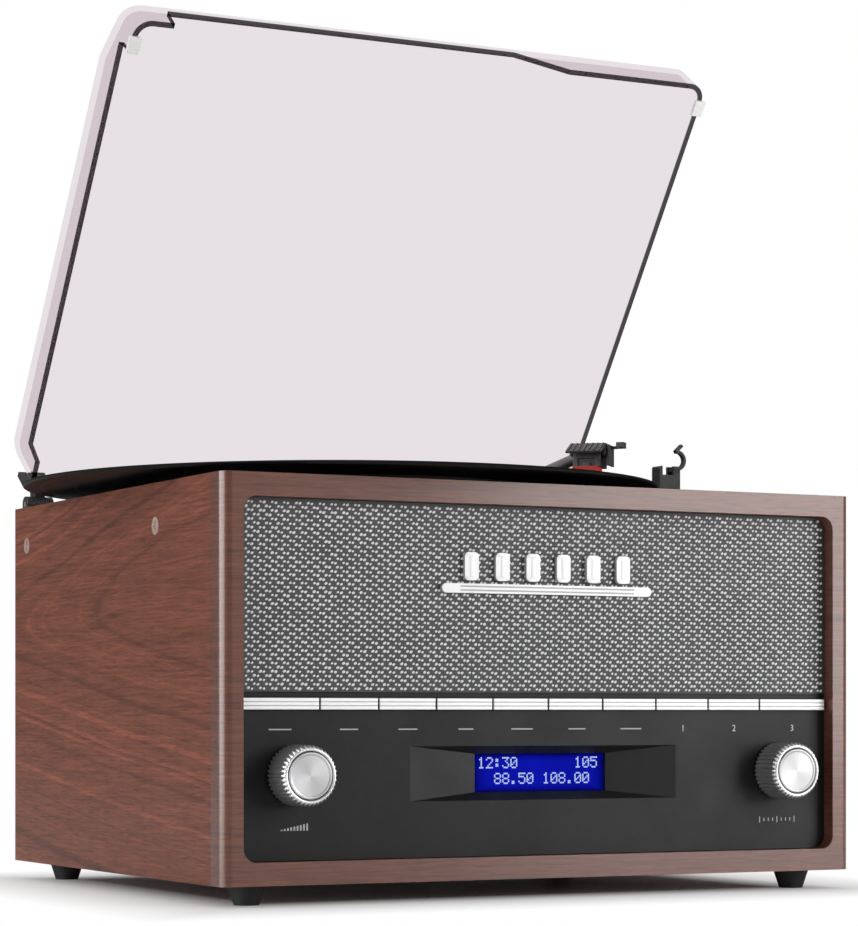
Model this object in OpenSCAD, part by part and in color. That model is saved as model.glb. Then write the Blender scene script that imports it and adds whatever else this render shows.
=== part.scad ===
// Retro stereo music centre: walnut cabinet, cloth grille, ten chrome keys, lit display, two knobs,
// and a belt-driven record deck under a clear hinged lid, drawn with the lid open.
// X runs across the front, Y from the front to the back, Z up from the floor under the feet.

/* [Cabinet] */
// Width of the cabinet
cab_w = 320; // [300:1:350]
// Depth of the cabinet
cab_d = 262; // [258:1:290]
// Height of the cabinet without its feet
cab_h = 175; // [173:1:190]
// Thickness of the side and bottom boards
board_t = 10; // [8:0.5:12]
// Thickness of the front frame
frame_t = 12; // [11:0.5:15]
// Width of the frame's bars around the front opening
frame_bar = 10; // [9:0.5:12]
// Radius of the cabinet's upright front edges
edge_r = 5; // [3:0.5:8]
// Radius of the corners of the front opening
cut_r = 6; // [4:0.5:8]
// How far the front sits back inside the frame
front_recess = 7; // [6:0.5:8]
// Thickness of the baffle board
baffle_t = 9; // [6:0.5:10]
// Thickness of the back panel
back_t = 6; // [4:0.5:8]
// Height of a foot
foot_h = 9; // [7:0.5:12]
// Radius of a foot at its top
foot_r = 8.5; // [7:0.5:10]
// Radius of a foot on the floor
foot_tip_r = 5.5; // [4:0.5:6.5]

/* [Front] */
// Height of the control panel, up to the ledge under the grille
panel_h = 71.8; // [70:0.2:76]
// Height of the keys' row above the panel's lower edge
key_z = 64.4; // [63:0.2:65]
// Height of a key
key_h = 5.2; // [4:0.2:5.6]
// Width of each of the two end keys
end_key_w = 36.7; // [32:0.1:38]
// How far the keys stand out of the panel
key_proud = 1.8; // [1:0.1:2.4]
// How far a key travels
key_travel = 1; // [0.6:0.1:1.2]
// Width of the display recess at the panel's face
recess_w = 136; // [120:1:140]
// Height of the display recess at the panel's face
recess_h = 24; // [22:0.5:26]
// Width of the display window
window_w = 67; // [60:1:72]
// Height of the display window
window_h = 17; // [14:0.5:18]
// Depth of the display recess
recess_d = 5; // [4:0.5:6]
// Distance of each knob from the middle of the front
knob_x = 123.4; // [118:0.2:126]
// Height of the knobs and the display above the cabinet's base
knob_z = 46.7; // [44:0.2:50]
// Radius of a knob
knob_r = 13; // [11:0.5:14]
// Length of a knob
knob_l = 15.6; // [12:0.2:18]
// Number of grooves around a knob
knob_teeth = 40; // [24:1:48]
// Width of the chrome badge
badge_w = 107; // [90:1:120]

/* [Deck] */
// Radius of the record
record_r = 150.8; // [150.6:0.1:151]
// Thickness of the record
record_t = 1.8; // [1.6:0.1:2.2]
// Height of the record's underside above the cabinet's top
record_up = 4.4; // [4:0.1:6]
// Distance of the spindle from the middle, towards the left
spindle_x = 42; // [38:1:44]
// Distance of the spindle from the cabinet's front
spindle_y = 131; // [129:1:133]
// Radius of the platter
platter_r = 100; // [95:1:104]
// Thickness of the rubber mat
mat_t = 2.5; // [2:0.1:3]
// Radius of the belt's track under the platter
track_r = 65; // [60:1:70]
// Radius of the belt's track on the motor pulley
pulley_r = 4.5; // [4:0.1:6]
// Distance of the motor from the spindle
motor_off = 84; // [80:1:86]

/* [Tonearm] */
// Distance of the tonearm's pivot from the record's edge
pivot_gap = 28.1; // [27.9:0.1:28.6]
// Height of the tonearm's pivot above the cabinet's top
pivot_up = 22.6; // [22:0.1:24]
// Length of the tube from the pivot to the headshell
tube_l = 165; // [160:1:168]
// Radius of the tube
tube_r = 2.8; // [2.4:0.1:3]
// Angle of the arm to the cabinet's depth, with the needle over the record
arm_angle = 18.6; // [16:0.1:20]
// Angle of the headshell to the tube
head_angle = 23; // [20:0.5:26]
// Height of the needle above the record
needle_gap = 2.5; // [1.5:0.1:3]

/* [Lid] */
// Width of the lid
lid_w = 307; // [300:1:312]
// Length of the lid from its front to its back
lid_l = 252; // [249:1:254]
// Height of the lid
lid_h = 34; // [32:0.5:36]
// Height of the lid's front wall
lid_front_h = 18; // [17:0.5:22]
// Thickness of the lid
lid_t = 2.5; // [2:0.1:3]
// Depth of the notches that clear the record
notch_h = 14; // [12:0.5:15]
// Angle at which the lid stands open
lid_open = 54.4; // [45:0.2:58]

/* [Hidden] */
$fn = 64;
seat = 0.2;
play = 0.06;
eps = 0.01;
through = 400;

z0 = foot_h;
z_top = z0 + cab_h;
in_x = cab_w / 2 - board_t;
cut_x = cab_w / 2 - frame_bar;
cut_z0 = z0 + frame_bar;
cut_z1 = z_top - frame_bar;
face_y = front_recess;
baffle_y = frame_t;
board_back = baffle_y + baffle_t;

deck_top = z_top - 1;
deck_t = 3;
deck_under = deck_top - deck_t;
skirt_h = 26;
skirt_t = 3;
deck_y1 = cab_d - 0.3;
back_y1 = deck_y1 - skirt_t - seat;
back_y0 = back_y1 - back_t;

panel_z0 = cut_z0 + seat;
panel_z1 = panel_z0 + panel_h;
panel_x = cut_x - seat;
panel_t = frame_t - front_recess;
key_z0 = panel_z0 + key_z;
keys_x = panel_x - 0.8;
key_gap = 0.5;
mid_key_w = (2 * keys_x - 2 * end_key_w) / 8;
cap_t = 2.6;
slot_floor = face_y - key_proud + cap_t + key_travel + 0.2;
board_y = face_y + 13;
board_pcb = 1.6;
switch_h = 4;
dial_z = z0 + knob_z;
shaft_r = 3;
knob_gap = 1;
knob_y0 = face_y - knob_gap - knob_l;

record_z = z_top + record_up;
record_top = record_z + record_t;
mat_z = record_z - mat_t;
platter_z1 = mat_z;
platter_t = 3;
well_r = platter_r + 3;
well_floor = platter_z1 - 14;
well_t = 2.5;
spindle_r = 3.55;
hub_r = 10;
belt_t = 0.6;
belt_h = 5;
belt_z = well_floor + 3;
motor_angle = -25;
motor_r = 16;
motor_h = 22;
motor_x = -spindle_x + motor_off * cos(motor_angle);
motor_y = spindle_y + motor_off * sin(motor_angle);

pivot_dir = 30.6;
pivot_x = -spindle_x + (record_r + pivot_gap) * cos(pivot_dir);
pivot_y = spindle_y + (record_r + pivot_gap) * sin(pivot_dir);
pivot_z = z_top + pivot_up;
arm_base_top = deck_top + 9;
cheek_x = 6.5;
cheek_t = 2.5;
trunnion_r = 1.5;
cue_r = 30;
needle_fwd = 20;
head_l = 27;
head_w = 17;
needle_z = record_top + needle_gap;
needle_tip_h = 1.2;
stylus_h = 3.6;
stylus_z = needle_z + needle_tip_h;
cart_z = stylus_z + stylus_h;
shell_z = cart_z + 5.4;
head_top = pivot_z + tube_r - 0.6;
// Place of the arm rest: under the tube when the arm is turned outwards by park_turn
park_turn = 20.4;
rest_reach = 128;
park_dir = park_turn - arm_angle;
rest_x = pivot_x + rest_reach * sin(park_dir);
rest_y = pivot_y - rest_reach * cos(park_dir);
rest_top = pivot_z - tube_r - 0.35;
rest_w = 12;
rest_d = 7;
notch_w = 2 * tube_r + 0.9;
notch_d = 4.3;
clip_r = 0.8;
clip_open = 80;
clip_t = 2.4;

hinge_y = cab_d + 4;
hinge_z = z_top + 3;
lid_gap = 2.3;
lid_z = z_top + lid_gap;
lid_y1 = cab_d - 4;
lid_y0 = lid_y1 - lid_l;
lid_corner_r = 9;
bevel_run = 33;
rear_run = 10;
rear_h = 21;
hinge_in = lid_w / 2 - 7;
barrel_r = 4;
pin_r = 1.5;
ear_w = 4;
leaf_w = 14;

// The frame's origin lies under the middle of the whole, with the record's overhang and the open lid
lid_back = hinge_y + (lid_y1 - rear_run - hinge_y) * cos(lid_open) + (lid_z + lid_h - hinge_z) * sin(lid_open);
mid_x = (cab_w / 2 - spindle_x - record_r) / 2;
mid_y = (lid_back + spindle_y - record_r) / 2;

// Rectangle with round corners, middle at the origin
module round_rect(w, h, r) {
    square([w - 2 * r, h], center = true);
    square([w, h - 2 * r], center = true);
    for (x = [-1, 1], y = [-1, 1])
        translate([x * (w / 2 - r), y * (h / 2 - r)]) circle(r);
}

// Turns a drawing in X and Z into a plate that runs from y0 back to y1
module plate_y(y0, y1) {
    translate([0, y1, 0]) rotate([90, 0, 0]) linear_extrude(y1 - y0) children();
}

// Turns a drawing in Y and Z into a bar that runs from x0 to x1
module bar_x(x0, x1) {
    translate([x0, 0, 0]) rotate([90, 0, 90]) linear_extrude(x1 - x0) children();
}

// Block between two corners
module block(a, b) {
    translate(a) cube(b - a);
}

// Cylinder along Y from y0 to y1
module rod_y(x, z, r, y0, y1) {
    translate([x, y1, z]) rotate([90, 0, 0]) cylinder(h = y1 - y0, r = r);
}

// Cylinder along X from x0 to x1
module rod_x(y, z, r, x0, x1) {
    translate([x0, y, z]) rotate([0, 90, 0]) cylinder(h = x1 - x0, r = r);
}

module rod_z(x, y, r, za, zb) {
    translate([x, y, za]) cylinder(h = zb - za, r = r);
}

// Cabinet

screw_y = [75, cab_d - 17];
screw_z = z_top - 19;
screw_r = 2;
screw_head_r = 4;
screw_head_h = 2.4;
foot_in = 20;

module frame_plan() {
    translate([-cab_w / 2, edge_r]) square([cab_w, frame_t - edge_r]);
    translate([-cab_w / 2 + edge_r, 0]) square([cab_w - 2 * edge_r, frame_t]);
    for (s = [-1, 1]) translate([s * (cab_w / 2 - edge_r), edge_r]) circle(edge_r);
}

module front_frame() {
    color([0.42, 0.25, 0.21]) difference() {
        translate([0, 0, z0]) linear_extrude(cab_h) frame_plan();
        plate_y(-1, frame_t + 1) translate([0, (cut_z0 + cut_z1) / 2])
            round_rect(2 * cut_x, cut_z1 - cut_z0, cut_r);
    }
}

// Countersunk screw along X, its head flush with the face at the origin and its tip towards -X
module side_screw_solid(grow, tip) {
    rotate([0, -90, 0]) {
        translate([0, 0, -eps]) cylinder(h = screw_head_h, r1 = screw_head_r + grow, r2 = screw_r + grow);
        cylinder(h = tip, r = screw_r + grow);
    }
}

module side_panel(s) {
    color([0.40, 0.23, 0.20]) difference() {
        scale([s, 1, 1]) block([in_x, frame_t + eps, z0], [cab_w / 2, cab_d, z_top]);
        for (y = screw_y) translate([s * cab_w / 2, y, screw_z]) rotate([0, 0, s > 0 ? 0 : 180])
            side_screw_solid(0.1, board_t + 1);
    }
}

module bottom_panel() {
    color([0.40, 0.23, 0.20]) difference() {
        block([-in_x + seat, frame_t + seat, z0], [in_x - seat, cab_d - seat, z0 + board_t]);
        for (i = [0:7]) translate([(i - 3.5) * 14, cab_d / 2, z0 + board_t / 2])
            linear_extrude(board_t + 2, center = true) round_rect(5, 60, 2.4);
    }
}

back_z0 = z0 + board_t + seat;
back_z1 = deck_under - seat;
back_screws = [for (s = [-1, 1], z = [back_z0 + 10, deck_top - skirt_h - 8]) [s * (in_x - 9), z]];
socket_z = z0 + 42;
dc_x = -in_x + 38;
rca_step = 18;
socket_step = 26;
rca_x = [in_x - 52, in_x - 52 - rca_step];
aux_x = rca_x[1] - socket_step;
aerial_x = aux_x - socket_step;

module back_panel() {
    color([0.07, 0.07, 0.07]) difference() {
        block([-in_x + seat, back_y0, back_z0], [in_x - seat, back_y1, back_z1]);
        for (p = back_screws) rod_y(p[0], p[1], 1.7, back_y0 - 1, back_y1 + 1);
        for (i = [0:11], j = [0, 1]) translate([(i - 5.5) * 12, 0, z0 + 105 + j * 30])
            plate_y(back_y0 - 1, back_y1 + 1) round_rect(4, 22, 1.9);
        rod_y(dc_x, socket_z, 5.1, back_y0 - 1, back_y1 + 1);
        for (x = rca_x) rod_y(x, socket_z, 5.1, back_y0 - 1, back_y1 + 1);
        rod_y(aux_x, socket_z, 4.1, back_y0 - 1, back_y1 + 1);
        rod_y(aerial_x, socket_z, 5.1, back_y0 - 1, back_y1 + 1);
    }
}

speaker_x = 92;
speaker_z = (panel_z1 + cut_z1) / 2;
speaker_r = 36;
cone_open_r = 31;
bay_x = panel_x - 8;

module baffle_board() {
    color([0.10, 0.09, 0.08]) difference() {
        block([-in_x + seat, baffle_y + seat, back_z0], [in_x - seat, board_back, back_z1]);
        for (s = [-1, 1]) rod_y(s * speaker_x, speaker_z, cone_open_r, baffle_y, board_back + 1);
        block([-bay_x, baffle_y, panel_z0 + 4], [bay_x, board_back + 1, panel_z1 - 1.5]);
    }
}

module feet() {
    color([0.05, 0.05, 0.05])
        for (s = [-1, 1], y = [foot_in, cab_d - foot_in])
            translate([s * (cab_w / 2 - foot_in), y, 0]) cylinder(h = z0, r1 = foot_tip_r, r2 = foot_r);
}

module cabinet_screws() {
    color([0.62, 0.55, 0.42]) {
        for (s = [-1, 1], y = screw_y) translate([s * (cab_w / 2 - eps), y, screw_z])
            rotate([0, 0, s > 0 ? 0 : 180]) difference() {
                side_screw_solid(0, board_t + 7);
                for (a = [0, 90]) rotate([a, 0, 0]) translate([0.5, 0, 0]) cube([2.4, 0.9, 4.2], center = true);
            }
        for (p = back_screws) {
            rod_y(p[0], p[1], 1.5, back_y0 - 8, back_y1);
            difference() {
                rod_y(p[0], p[1], 3.2, back_y1, back_y1 + 2);
                for (a = [0, 90]) translate([p[0], back_y1 + 2, p[1]]) rotate([0, a, 0])
                    cube([4, 1.6, 0.9], center = true);
            }
        }
    }
}

// Sockets on the back, each a barrel with a flange inside the panel

socket_out = back_y1 + 2;
rca_out = back_y1 + 10;
aux_r = 1.8;

module socket(x, barrel_r, out_y) {
    rod_y(x, socket_z, barrel_r, back_y0 - 8, out_y);
    rod_y(x, socket_z, barrel_r + 2.4, back_y0 - 2.5, back_y0 - 0.1);
}

module rear_sockets() {
    color([0.75, 0.73, 0.68]) {
        difference() {
            socket(dc_x, 5, socket_out);
            rod_y(dc_x, socket_z, 3.1, back_y0 - 4, socket_out + 1);
        }
        rod_y(dc_x, socket_z, 1, back_y0 - 4 - eps, socket_out - 1.5);
        for (x = rca_x) difference() {
            union() {
                socket(x, 5, socket_out);
                rod_y(x, socket_z, 4.15, socket_out - eps, rca_out);
            }
            rod_y(x, socket_z, 1.7, back_y0 - 4, rca_out + 1);
        }
        difference() {
            socket(aux_x, 4, socket_out);
            rod_y(aux_x, socket_z, aux_r, back_y0 - 4, socket_out + 1);
        }
        difference() {
            union() {
                socket(aerial_x, 5, socket_out);
                rod_y(aerial_x, socket_z, 4.7, socket_out - eps, rca_out);
            }
            rod_y(aerial_x, socket_z, 3.6, socket_out, rca_out + 1);
        }
    }
}

// Loudspeakers

module speaker(s) {
    color([0.16, 0.16, 0.17]) translate([s * speaker_x, board_back + 0.1, speaker_z]) rotate([-90, 0, 0])
        rotate_extrude() polygon([
            [0, 17], [9, 13], [11, 16], [28, 2.5], [31, 4], [33.5, 0], [speaker_r, 0], [speaker_r, 2],
            [31.5, 3.6], [19, 20], [24, 20.5], [24, 34], [0, 34]
        ]);
}

// Front: grille, badge and control panel

grille_z0 = panel_z1 + seat;
grille_z1 = cut_z1 - seat;
cloth_t = 0.9;

module front_outline(z_low, z_high) {
    intersection() {
        translate([0, (cut_z0 + cut_z1) / 2])
            round_rect(2 * panel_x, cut_z1 - cut_z0 - 2 * seat, cut_r - seat);
        translate([-panel_x, z_low]) square([2 * panel_x, z_high - z_low]);
    }
}

module speaker_grille() {
    color([0.30, 0.30, 0.31]) difference() {
        plate_y(face_y, baffle_y) front_outline(grille_z0, grille_z1);
        for (s = [-1, 1]) rod_y(s * speaker_x, speaker_z, cone_open_r, face_y + cloth_t, baffle_y + 1);
        plate_y(face_y + cloth_t, baffle_y + 1) translate([0, speaker_z]) round_rect(80, 52, 4);
    }
}

badge_up = 4.6;
badge_z = speaker_z + badge_up;
badge_h = 4.2;
badge_t = 2.4;
fin_pitch = 15.5;
fin_w = 7;
fin_h = 12.4;
fin_z = badge_z + badge_h / 2 + 1.4 + fin_h / 2;

module badge() {
    color([0.90, 0.90, 0.92]) {
        difference() {
            plate_y(face_y - badge_t, face_y) translate([0, badge_z]) round_rect(badge_w, badge_h, badge_h / 2 - eps);
            for (dz = [-0.85, 0.85]) translate([0, face_y - badge_t, badge_z + dz])
                cube([badge_w - 18, 0.9, 0.7], center = true);
        }
        for (i = [0:5]) translate([(i - 2.5) * fin_pitch, 0, 0]) difference() {
            plate_y(face_y - badge_t, face_y) translate([0, fin_z]) round_rect(fin_w, fin_h, 2);
            translate([0, face_y - badge_t, fin_z]) cube([1.4, 1, fin_h - 4], center = true);
        }
    }
}

// Pocket that narrows evenly from the panel's face to the display window
module recess_cutter() {
    intersection() {
        translate([0, 0, dial_z]) linear_extrude(recess_h + 2, center = true) polygon([
            [-recess_w / 2, face_y], [recess_w / 2, face_y], [window_w / 2, face_y + recess_d],
            [-window_w / 2, face_y + recess_d]
        ]);
        bar_x(-recess_w / 2, recess_w / 2) polygon([
            [face_y, dial_z - recess_h / 2], [face_y + recess_d, dial_z - window_h / 2],
            [face_y + recess_d, dial_z + window_h / 2], [face_y, dial_z + recess_h / 2]
        ]);
    }
    block([-recess_w / 2, face_y - 1, dial_z - recess_h / 2], [recess_w / 2, face_y + eps, dial_z + recess_h / 2]);
}

lens_t = 1.2;
window_back = face_y + recess_d + 1.5;
stem_w = 18;
stem_h = 3;
function key_left(i) = i == 0 ? -keys_x : -keys_x + end_key_w + (i - 1) * mid_key_w;
function key_width(i) = i == 0 || i == 9 ? end_key_w : mid_key_w;
function key_mid(i) = key_left(i) + key_width(i) / 2;
bush_r = 4.4;
boss_in = 10.8;
boss_mid = 60;
boss_x = [boss_in - panel_x, -boss_mid, boss_mid, panel_x - boss_in];
boss_r = 2.8;

module control_panel() {
    color([0.12, 0.12, 0.12]) difference() {
        union() {
            plate_y(face_y, frame_t) front_outline(panel_z0, panel_z1);
            block([-window_w / 2 - 6, frame_t - eps, dial_z - window_h / 2 - 3],
                [window_w / 2 + 6, window_back, dial_z + window_h / 2 + 3]);
            for (x = boss_x) rod_y(x, panel_z0 + 12, boss_r, frame_t - eps, board_y);
        }
        recess_cutter();
        block([-window_w / 2, face_y, dial_z - window_h / 2], [window_w / 2, window_back + 1, dial_z + window_h / 2]);
        block([-keys_x - 0.4, face_y - 1, key_z0 - 0.4], [keys_x + 0.4, slot_floor, key_z0 + key_h + 0.3]);
        for (i = [0:9]) block(
            [key_mid(i) - stem_w / 2 - seat, face_y, key_z0 + key_h / 2 - stem_h / 2 - seat],
            [key_mid(i) + stem_w / 2 + seat, frame_t + 1, key_z0 + key_h / 2 + stem_h / 2 + seat]
        );
        for (s = [-1, 1]) rod_y(s * knob_x, dial_z, bush_r + 0.1, face_y - 1, frame_t + 1);
    }
}

module display_lens() {
    color([0.05, 0.07, 0.25, 0.5])
        block([-window_w / 2 - 4, window_back, dial_z - window_h / 2 - 2.5],
            [window_w / 2 + 4, window_back + lens_t, dial_z + window_h / 2 + 2.5]);
}

module lcd_module() {
    color([0.08, 0.12, 0.75])
        block([-window_w / 2 - 3, window_back + lens_t, dial_z - window_h / 2 - 2],
            [window_w / 2 + 3, board_y, dial_z + window_h / 2 + 2]);
}

module control_board() {
    color([0.10, 0.32, 0.16]) {
        difference() {
            block([-bay_x + 1, board_y, panel_z0 + 6], [bay_x - 1, board_y + board_pcb, panel_z1 - 2.5]);
            for (x = boss_x) rod_y(x, panel_z0 + 12, 1.2, board_y - 1, board_y + board_pcb + 1);
        }
        for (i = [0:9]) {
            translate([key_mid(i), board_y - 1.5, key_z0 + key_h / 2]) cube([6, 3 + eps, 4], center = true);
            rod_y(key_mid(i), key_z0 + key_h / 2, 1.6, board_y - switch_h, board_y - 3 + eps);
        }
    }
}

module key(i) {
    w = key_width(i) - key_gap;
    x = key_mid(i);
    y0 = face_y - key_proud;
    color([0.88, 0.88, 0.90]) {
        difference() {
            block([x - w / 2, y0, key_z0], [x + w / 2, y0 + cap_t, key_z0 + key_h]);
            for (dz = [-0.85, 0.85]) translate([x, y0, key_z0 + key_h / 2 + dz]) rotate([45, 0, 0])
                cube([w + 1, 0.55, 0.55], center = true);
        }
        block([x - stem_w / 2, y0 + cap_t - eps, key_z0 + key_h / 2 - stem_h / 2],
            [x + stem_w / 2, board_y - switch_h - key_travel - 0.2, key_z0 + key_h / 2 + stem_h / 2]);
    }
}

// Knobs on round shafts, each shaft in the bush of its encoder

cap_r = knob_r - 2.9;
pocket_d = 1.2;
shaft_y1 = board_y - 2;
shaft_y0 = knob_y0 + 5;
press_travel = 0.5;

groove_h = 0.7;

// Outline of the grooved side: one tooth is a flat land with a groove beside it
module knob_outline() {
    step = 360 / knob_teeth;
    polygon([for (i = [0:knob_teeth - 1], p = [[0, knob_r], [0.45, knob_r], [0.62, knob_r - groove_h],
        [0.83, knob_r - groove_h]]) let (t = (i + p[0]) * step) [p[1] * cos(t), p[1] * sin(t)]]);
}

module knob(s) {
    color([0.10, 0.10, 0.10]) translate([s * knob_x, knob_y0, dial_z]) rotate([-90, 0, 0]) difference() {
        union() {
            cylinder(h = 1.2, r1 = knob_r - 1.3, r2 = knob_r - 0.9);
            translate([0, 0, 1]) linear_extrude(knob_l - 3) knob_outline();
            translate([0, 0, knob_l - 2.2]) cylinder(h = 2.2, r = knob_r + 0.4);
        }
        translate([0, 0, -1]) cylinder(h = 1 + pocket_d, r = cap_r + 0.3);
        translate([0, 0, shaft_y0 - knob_y0 - 0.1]) cylinder(h = knob_l, r = shaft_r + play / 2);
        translate([0, 0, knob_l - 2.5]) cylinder(h = 3, r = bush_r + 1.6);
    }
}

module knob_cap(s) {
    color([0.85, 0.85, 0.86]) translate([s * knob_x, knob_y0, dial_z]) rotate([-90, 0, 0])
        rotate_extrude() polygon([
            [0, pocket_d], [cap_r, pocket_d], [cap_r, 0.1], [cap_r - 0.5, -0.35], [cap_r - 2.2, -0.35],
            [cap_r - 2.7, -0.05], [0, -0.05]
        ]);
}

module knob_shaft(s) {
    color([0.70, 0.70, 0.70]) rod_y(s * knob_x, dial_z, shaft_r, shaft_y0, shaft_y1 - press_travel - 0.2);
}

module encoders() {
    color([0.55, 0.57, 0.58]) for (s = [-1, 1]) difference() {
        union() {
            block([s * knob_x - 6, frame_t + 0.4, dial_z - 6], [s * knob_x + 6, board_y, dial_z + 6]);
            rod_y(s * knob_x, dial_z, bush_r, face_y - 0.4, frame_t + 0.5);
        }
        rod_y(s * knob_x, dial_z, shaft_r + play, face_y - 1, shaft_y1);
    }
}

main_w = 140;
main_d = 100;
main_x = in_x - 130;
main_y = back_y0 - 87.5;
pillar_h = 6;
pillar_in = 6;
can_h = 20;
can_step = 16;
sink_w = 44;
sink_h = 30;
chip_w = 36;
chip_d = 32;

module main_board() {
    pillars = [for (x = [-1, 1], y = [-1, 1]) [x * (main_w / 2 - pillar_in), y * (main_d / 2 - pillar_in), 0]];
    top = pillar_h + board_pcb - eps;
    color([0.10, 0.30, 0.18]) translate([main_x, main_y, z0 + board_t]) {
        difference() {
            translate([-main_w / 2, -main_d / 2, pillar_h]) cube([main_w, main_d, board_pcb]);
            for (p = pillars) translate(p) cylinder(h = pillar_h + 4, r = 1.5);
        }
        for (p = pillars) translate(p) difference() {
            cylinder(h = pillar_h, r = 3.2);
            translate([0, 0, 1]) cylinder(h = pillar_h + 4, r = 1.5);
        }
        for (i = [0:3]) translate([-main_w / 2 + 20 + i * can_step, main_d / 2 - 22, top]) cylinder(h = can_h, r = 6);
        translate([10, -main_d / 2 + 10, top]) cube([sink_w, 3, sink_h]);
        for (i = [0:6]) translate([11 + i * 7, -main_d / 2 + 13 - eps, top]) cube([1.4, 12, sink_h]);
        translate([-main_w / 2 + 14, -main_d / 2 + 16, top]) cube([chip_w, chip_d, 3]);
    }
}

// Record deck

boss_out_r = 8;
plinth_r = 20;
slot_x = 134;
speed_y = 128;
speed_travel = 16;
stop_y = 170;
stop_travel = 6;
slot_w = 4;

module well_hole(grow, za, zb) {
    rod_z(-spindle_x, spindle_y, well_r + grow, za, zb);
}

module deck_plate() {
    x1 = in_x - seat;
    y0 = frame_t + seat;
    color([0.08, 0.08, 0.08]) difference() {
        union() {
            block([-x1, y0, deck_under], [x1, deck_y1, deck_top]);
            for (s = [-1, 1]) scale([s, 1, 1])
                block([x1 - skirt_t, board_back + 1, deck_top - skirt_h], [x1, back_y0 - seat, deck_under + eps]);
            block([-x1, deck_y1 - skirt_t, deck_top - skirt_h], [x1, deck_y1, deck_under + eps]);
            well_hole(well_t, well_floor - well_t, deck_under + eps);
            rod_z(-spindle_x, spindle_y, boss_out_r, well_floor - 20, well_floor);
            for (s = [-1, 1], y = screw_y) rod_x(y, screw_z, 4.6, s > 0 ? x1 - 9 : -x1, s > 0 ? x1 : 9 - x1);
        }
        well_hole(0, well_floor, deck_top + 1);
        rod_z(-spindle_x, spindle_y, spindle_r + play, well_floor - 18, well_floor + 1);
        rod_z(motor_x, motor_y, 8, well_floor - well_t - 1, well_floor + 1);
        for (s = [-1, 1], y = screw_y) rod_x(y, screw_z, screw_r + 0.1, -s * eps + s * (x1 - 9) - 10, s * (x1 - 9) + 10);
        for (p = [[speed_y, speed_travel], [stop_y, stop_travel]])
            block([slot_x - slot_w / 2, p[0] - 3, deck_under - 1], [slot_x + slot_w / 2, p[0] + 3 + p[1], deck_top + 1]);
    }
}

module platter() {
    color([0.20, 0.20, 0.21]) translate([-spindle_x, spindle_y, 0]) rotate_extrude() polygon([
        [spindle_r + play / 2, belt_z], [hub_r, belt_z], [hub_r, platter_z1 - platter_t],
        [track_r - 2, platter_z1 - platter_t], [track_r - 2, belt_z - 0.5], [track_r, belt_z - 0.5],
        [track_r, platter_z1 - platter_t], [platter_r - 4, platter_z1 - platter_t], [platter_r - 4, well_floor + 2],
        [platter_r - 1, well_floor + 2], [platter_r, well_floor + 3], [platter_r, platter_z1 - 1],
        [platter_r - 1, platter_z1], [spindle_r + play / 2, platter_z1]
    ]);
}

module platter_mat() {
    color([0.05, 0.05, 0.05]) translate([-spindle_x, spindle_y, mat_z]) difference() {
        cylinder(h = mat_t, r = platter_r - 1.5);
        translate([0, 0, -1]) cylinder(h = mat_t + 2, r = spindle_r + 0.3);
        for (r = [58:6:94]) translate([0, 0, mat_t - 0.6]) difference() {
            cylinder(h = 1, r = r + 1);
            translate([0, 0, -1]) cylinder(h = 3, r = r - 1);
        }
    }
}

module spindle() {
    color([0.80, 0.80, 0.82]) translate([-spindle_x, spindle_y, 0]) rotate_extrude() polygon([
        [0, well_floor - 17.8], [spindle_r, well_floor - 17.8], [spindle_r, well_floor + 0.3],
        [hub_r - 3, well_floor + 0.3], [hub_r - 3, belt_z], [spindle_r, belt_z],
        [spindle_r, record_top + 6], [spindle_r - 1.2, record_top + 9.4], [0, record_top + 10]
    ]);
}

label_r = 50;
groove_d = 0.35;

module record() {
    color([0.04, 0.04, 0.04]) translate([-spindle_x, spindle_y, record_z]) rotate_extrude() polygon([
        [spindle_r + 0.07, 0], [label_r, 0], [label_r + 3, groove_d], [record_r - 5, groove_d], [record_r - 2, 0],
        [record_r - 0.5, 0.1], [record_r, record_t / 2], [record_r - 0.5, record_t - 0.1], [record_r - 2, record_t],
        [record_r - 5, record_t - groove_d], [label_r + 3, record_t - groove_d], [label_r, record_t],
        [spindle_r + 0.07, record_t]
    ]);
}

// Loop round the track at the origin and the pulley at x = motor_off, each grown by g
function belt_points(g) =
    let (ra = track_r + g, rb = pulley_r + g, a = acos((ra - rb) / motor_off), n = 72, m = 16)
    concat(
        [for (i = [0:n]) let (t = a + i * (360 - 2 * a) / n) [ra * cos(t), ra * sin(t)]],
        [for (i = [0:m]) let (t = -a + i * 2 * a / m) [motor_off + rb * cos(t), rb * sin(t)]]
    );

module drive_belt() {
    color([0.03, 0.03, 0.03]) translate([-spindle_x, spindle_y, belt_z]) rotate([0, 0, motor_angle])
        linear_extrude(belt_h) difference() {
            polygon(belt_points(0.3 + belt_t));
            polygon(belt_points(0.3));
        }
}

module motor_pulley() {
    color([0.80, 0.68, 0.38]) translate([motor_x, motor_y, 0]) rotate_extrude() polygon([
        [0, well_floor - 10], [1, well_floor - 10], [1, well_floor + 0.6], [pulley_r + 1.6, well_floor + 0.6],
        [pulley_r + 1.6, belt_z - 0.8], [pulley_r, belt_z - 0.3], [pulley_r, belt_z + belt_h + 0.3],
        [pulley_r + 1.6, belt_z + belt_h + 0.8], [0, belt_z + belt_h + 0.8]
    ]);
}

module drive_motor() {
    top = well_floor - well_t - 0.1;
    color([0.60, 0.60, 0.62]) translate([motor_x, motor_y, 0]) difference() {
        union() {
            translate([0, 0, top - motor_h]) cylinder(h = motor_h, r = motor_r);
            translate([0, 0, top - motor_h - 3]) cylinder(h = 3 + eps, r = 5);
        }
        translate([0, 0, top - motor_h + 2]) cylinder(h = motor_h, r = 1 + play);
    }
}

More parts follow.
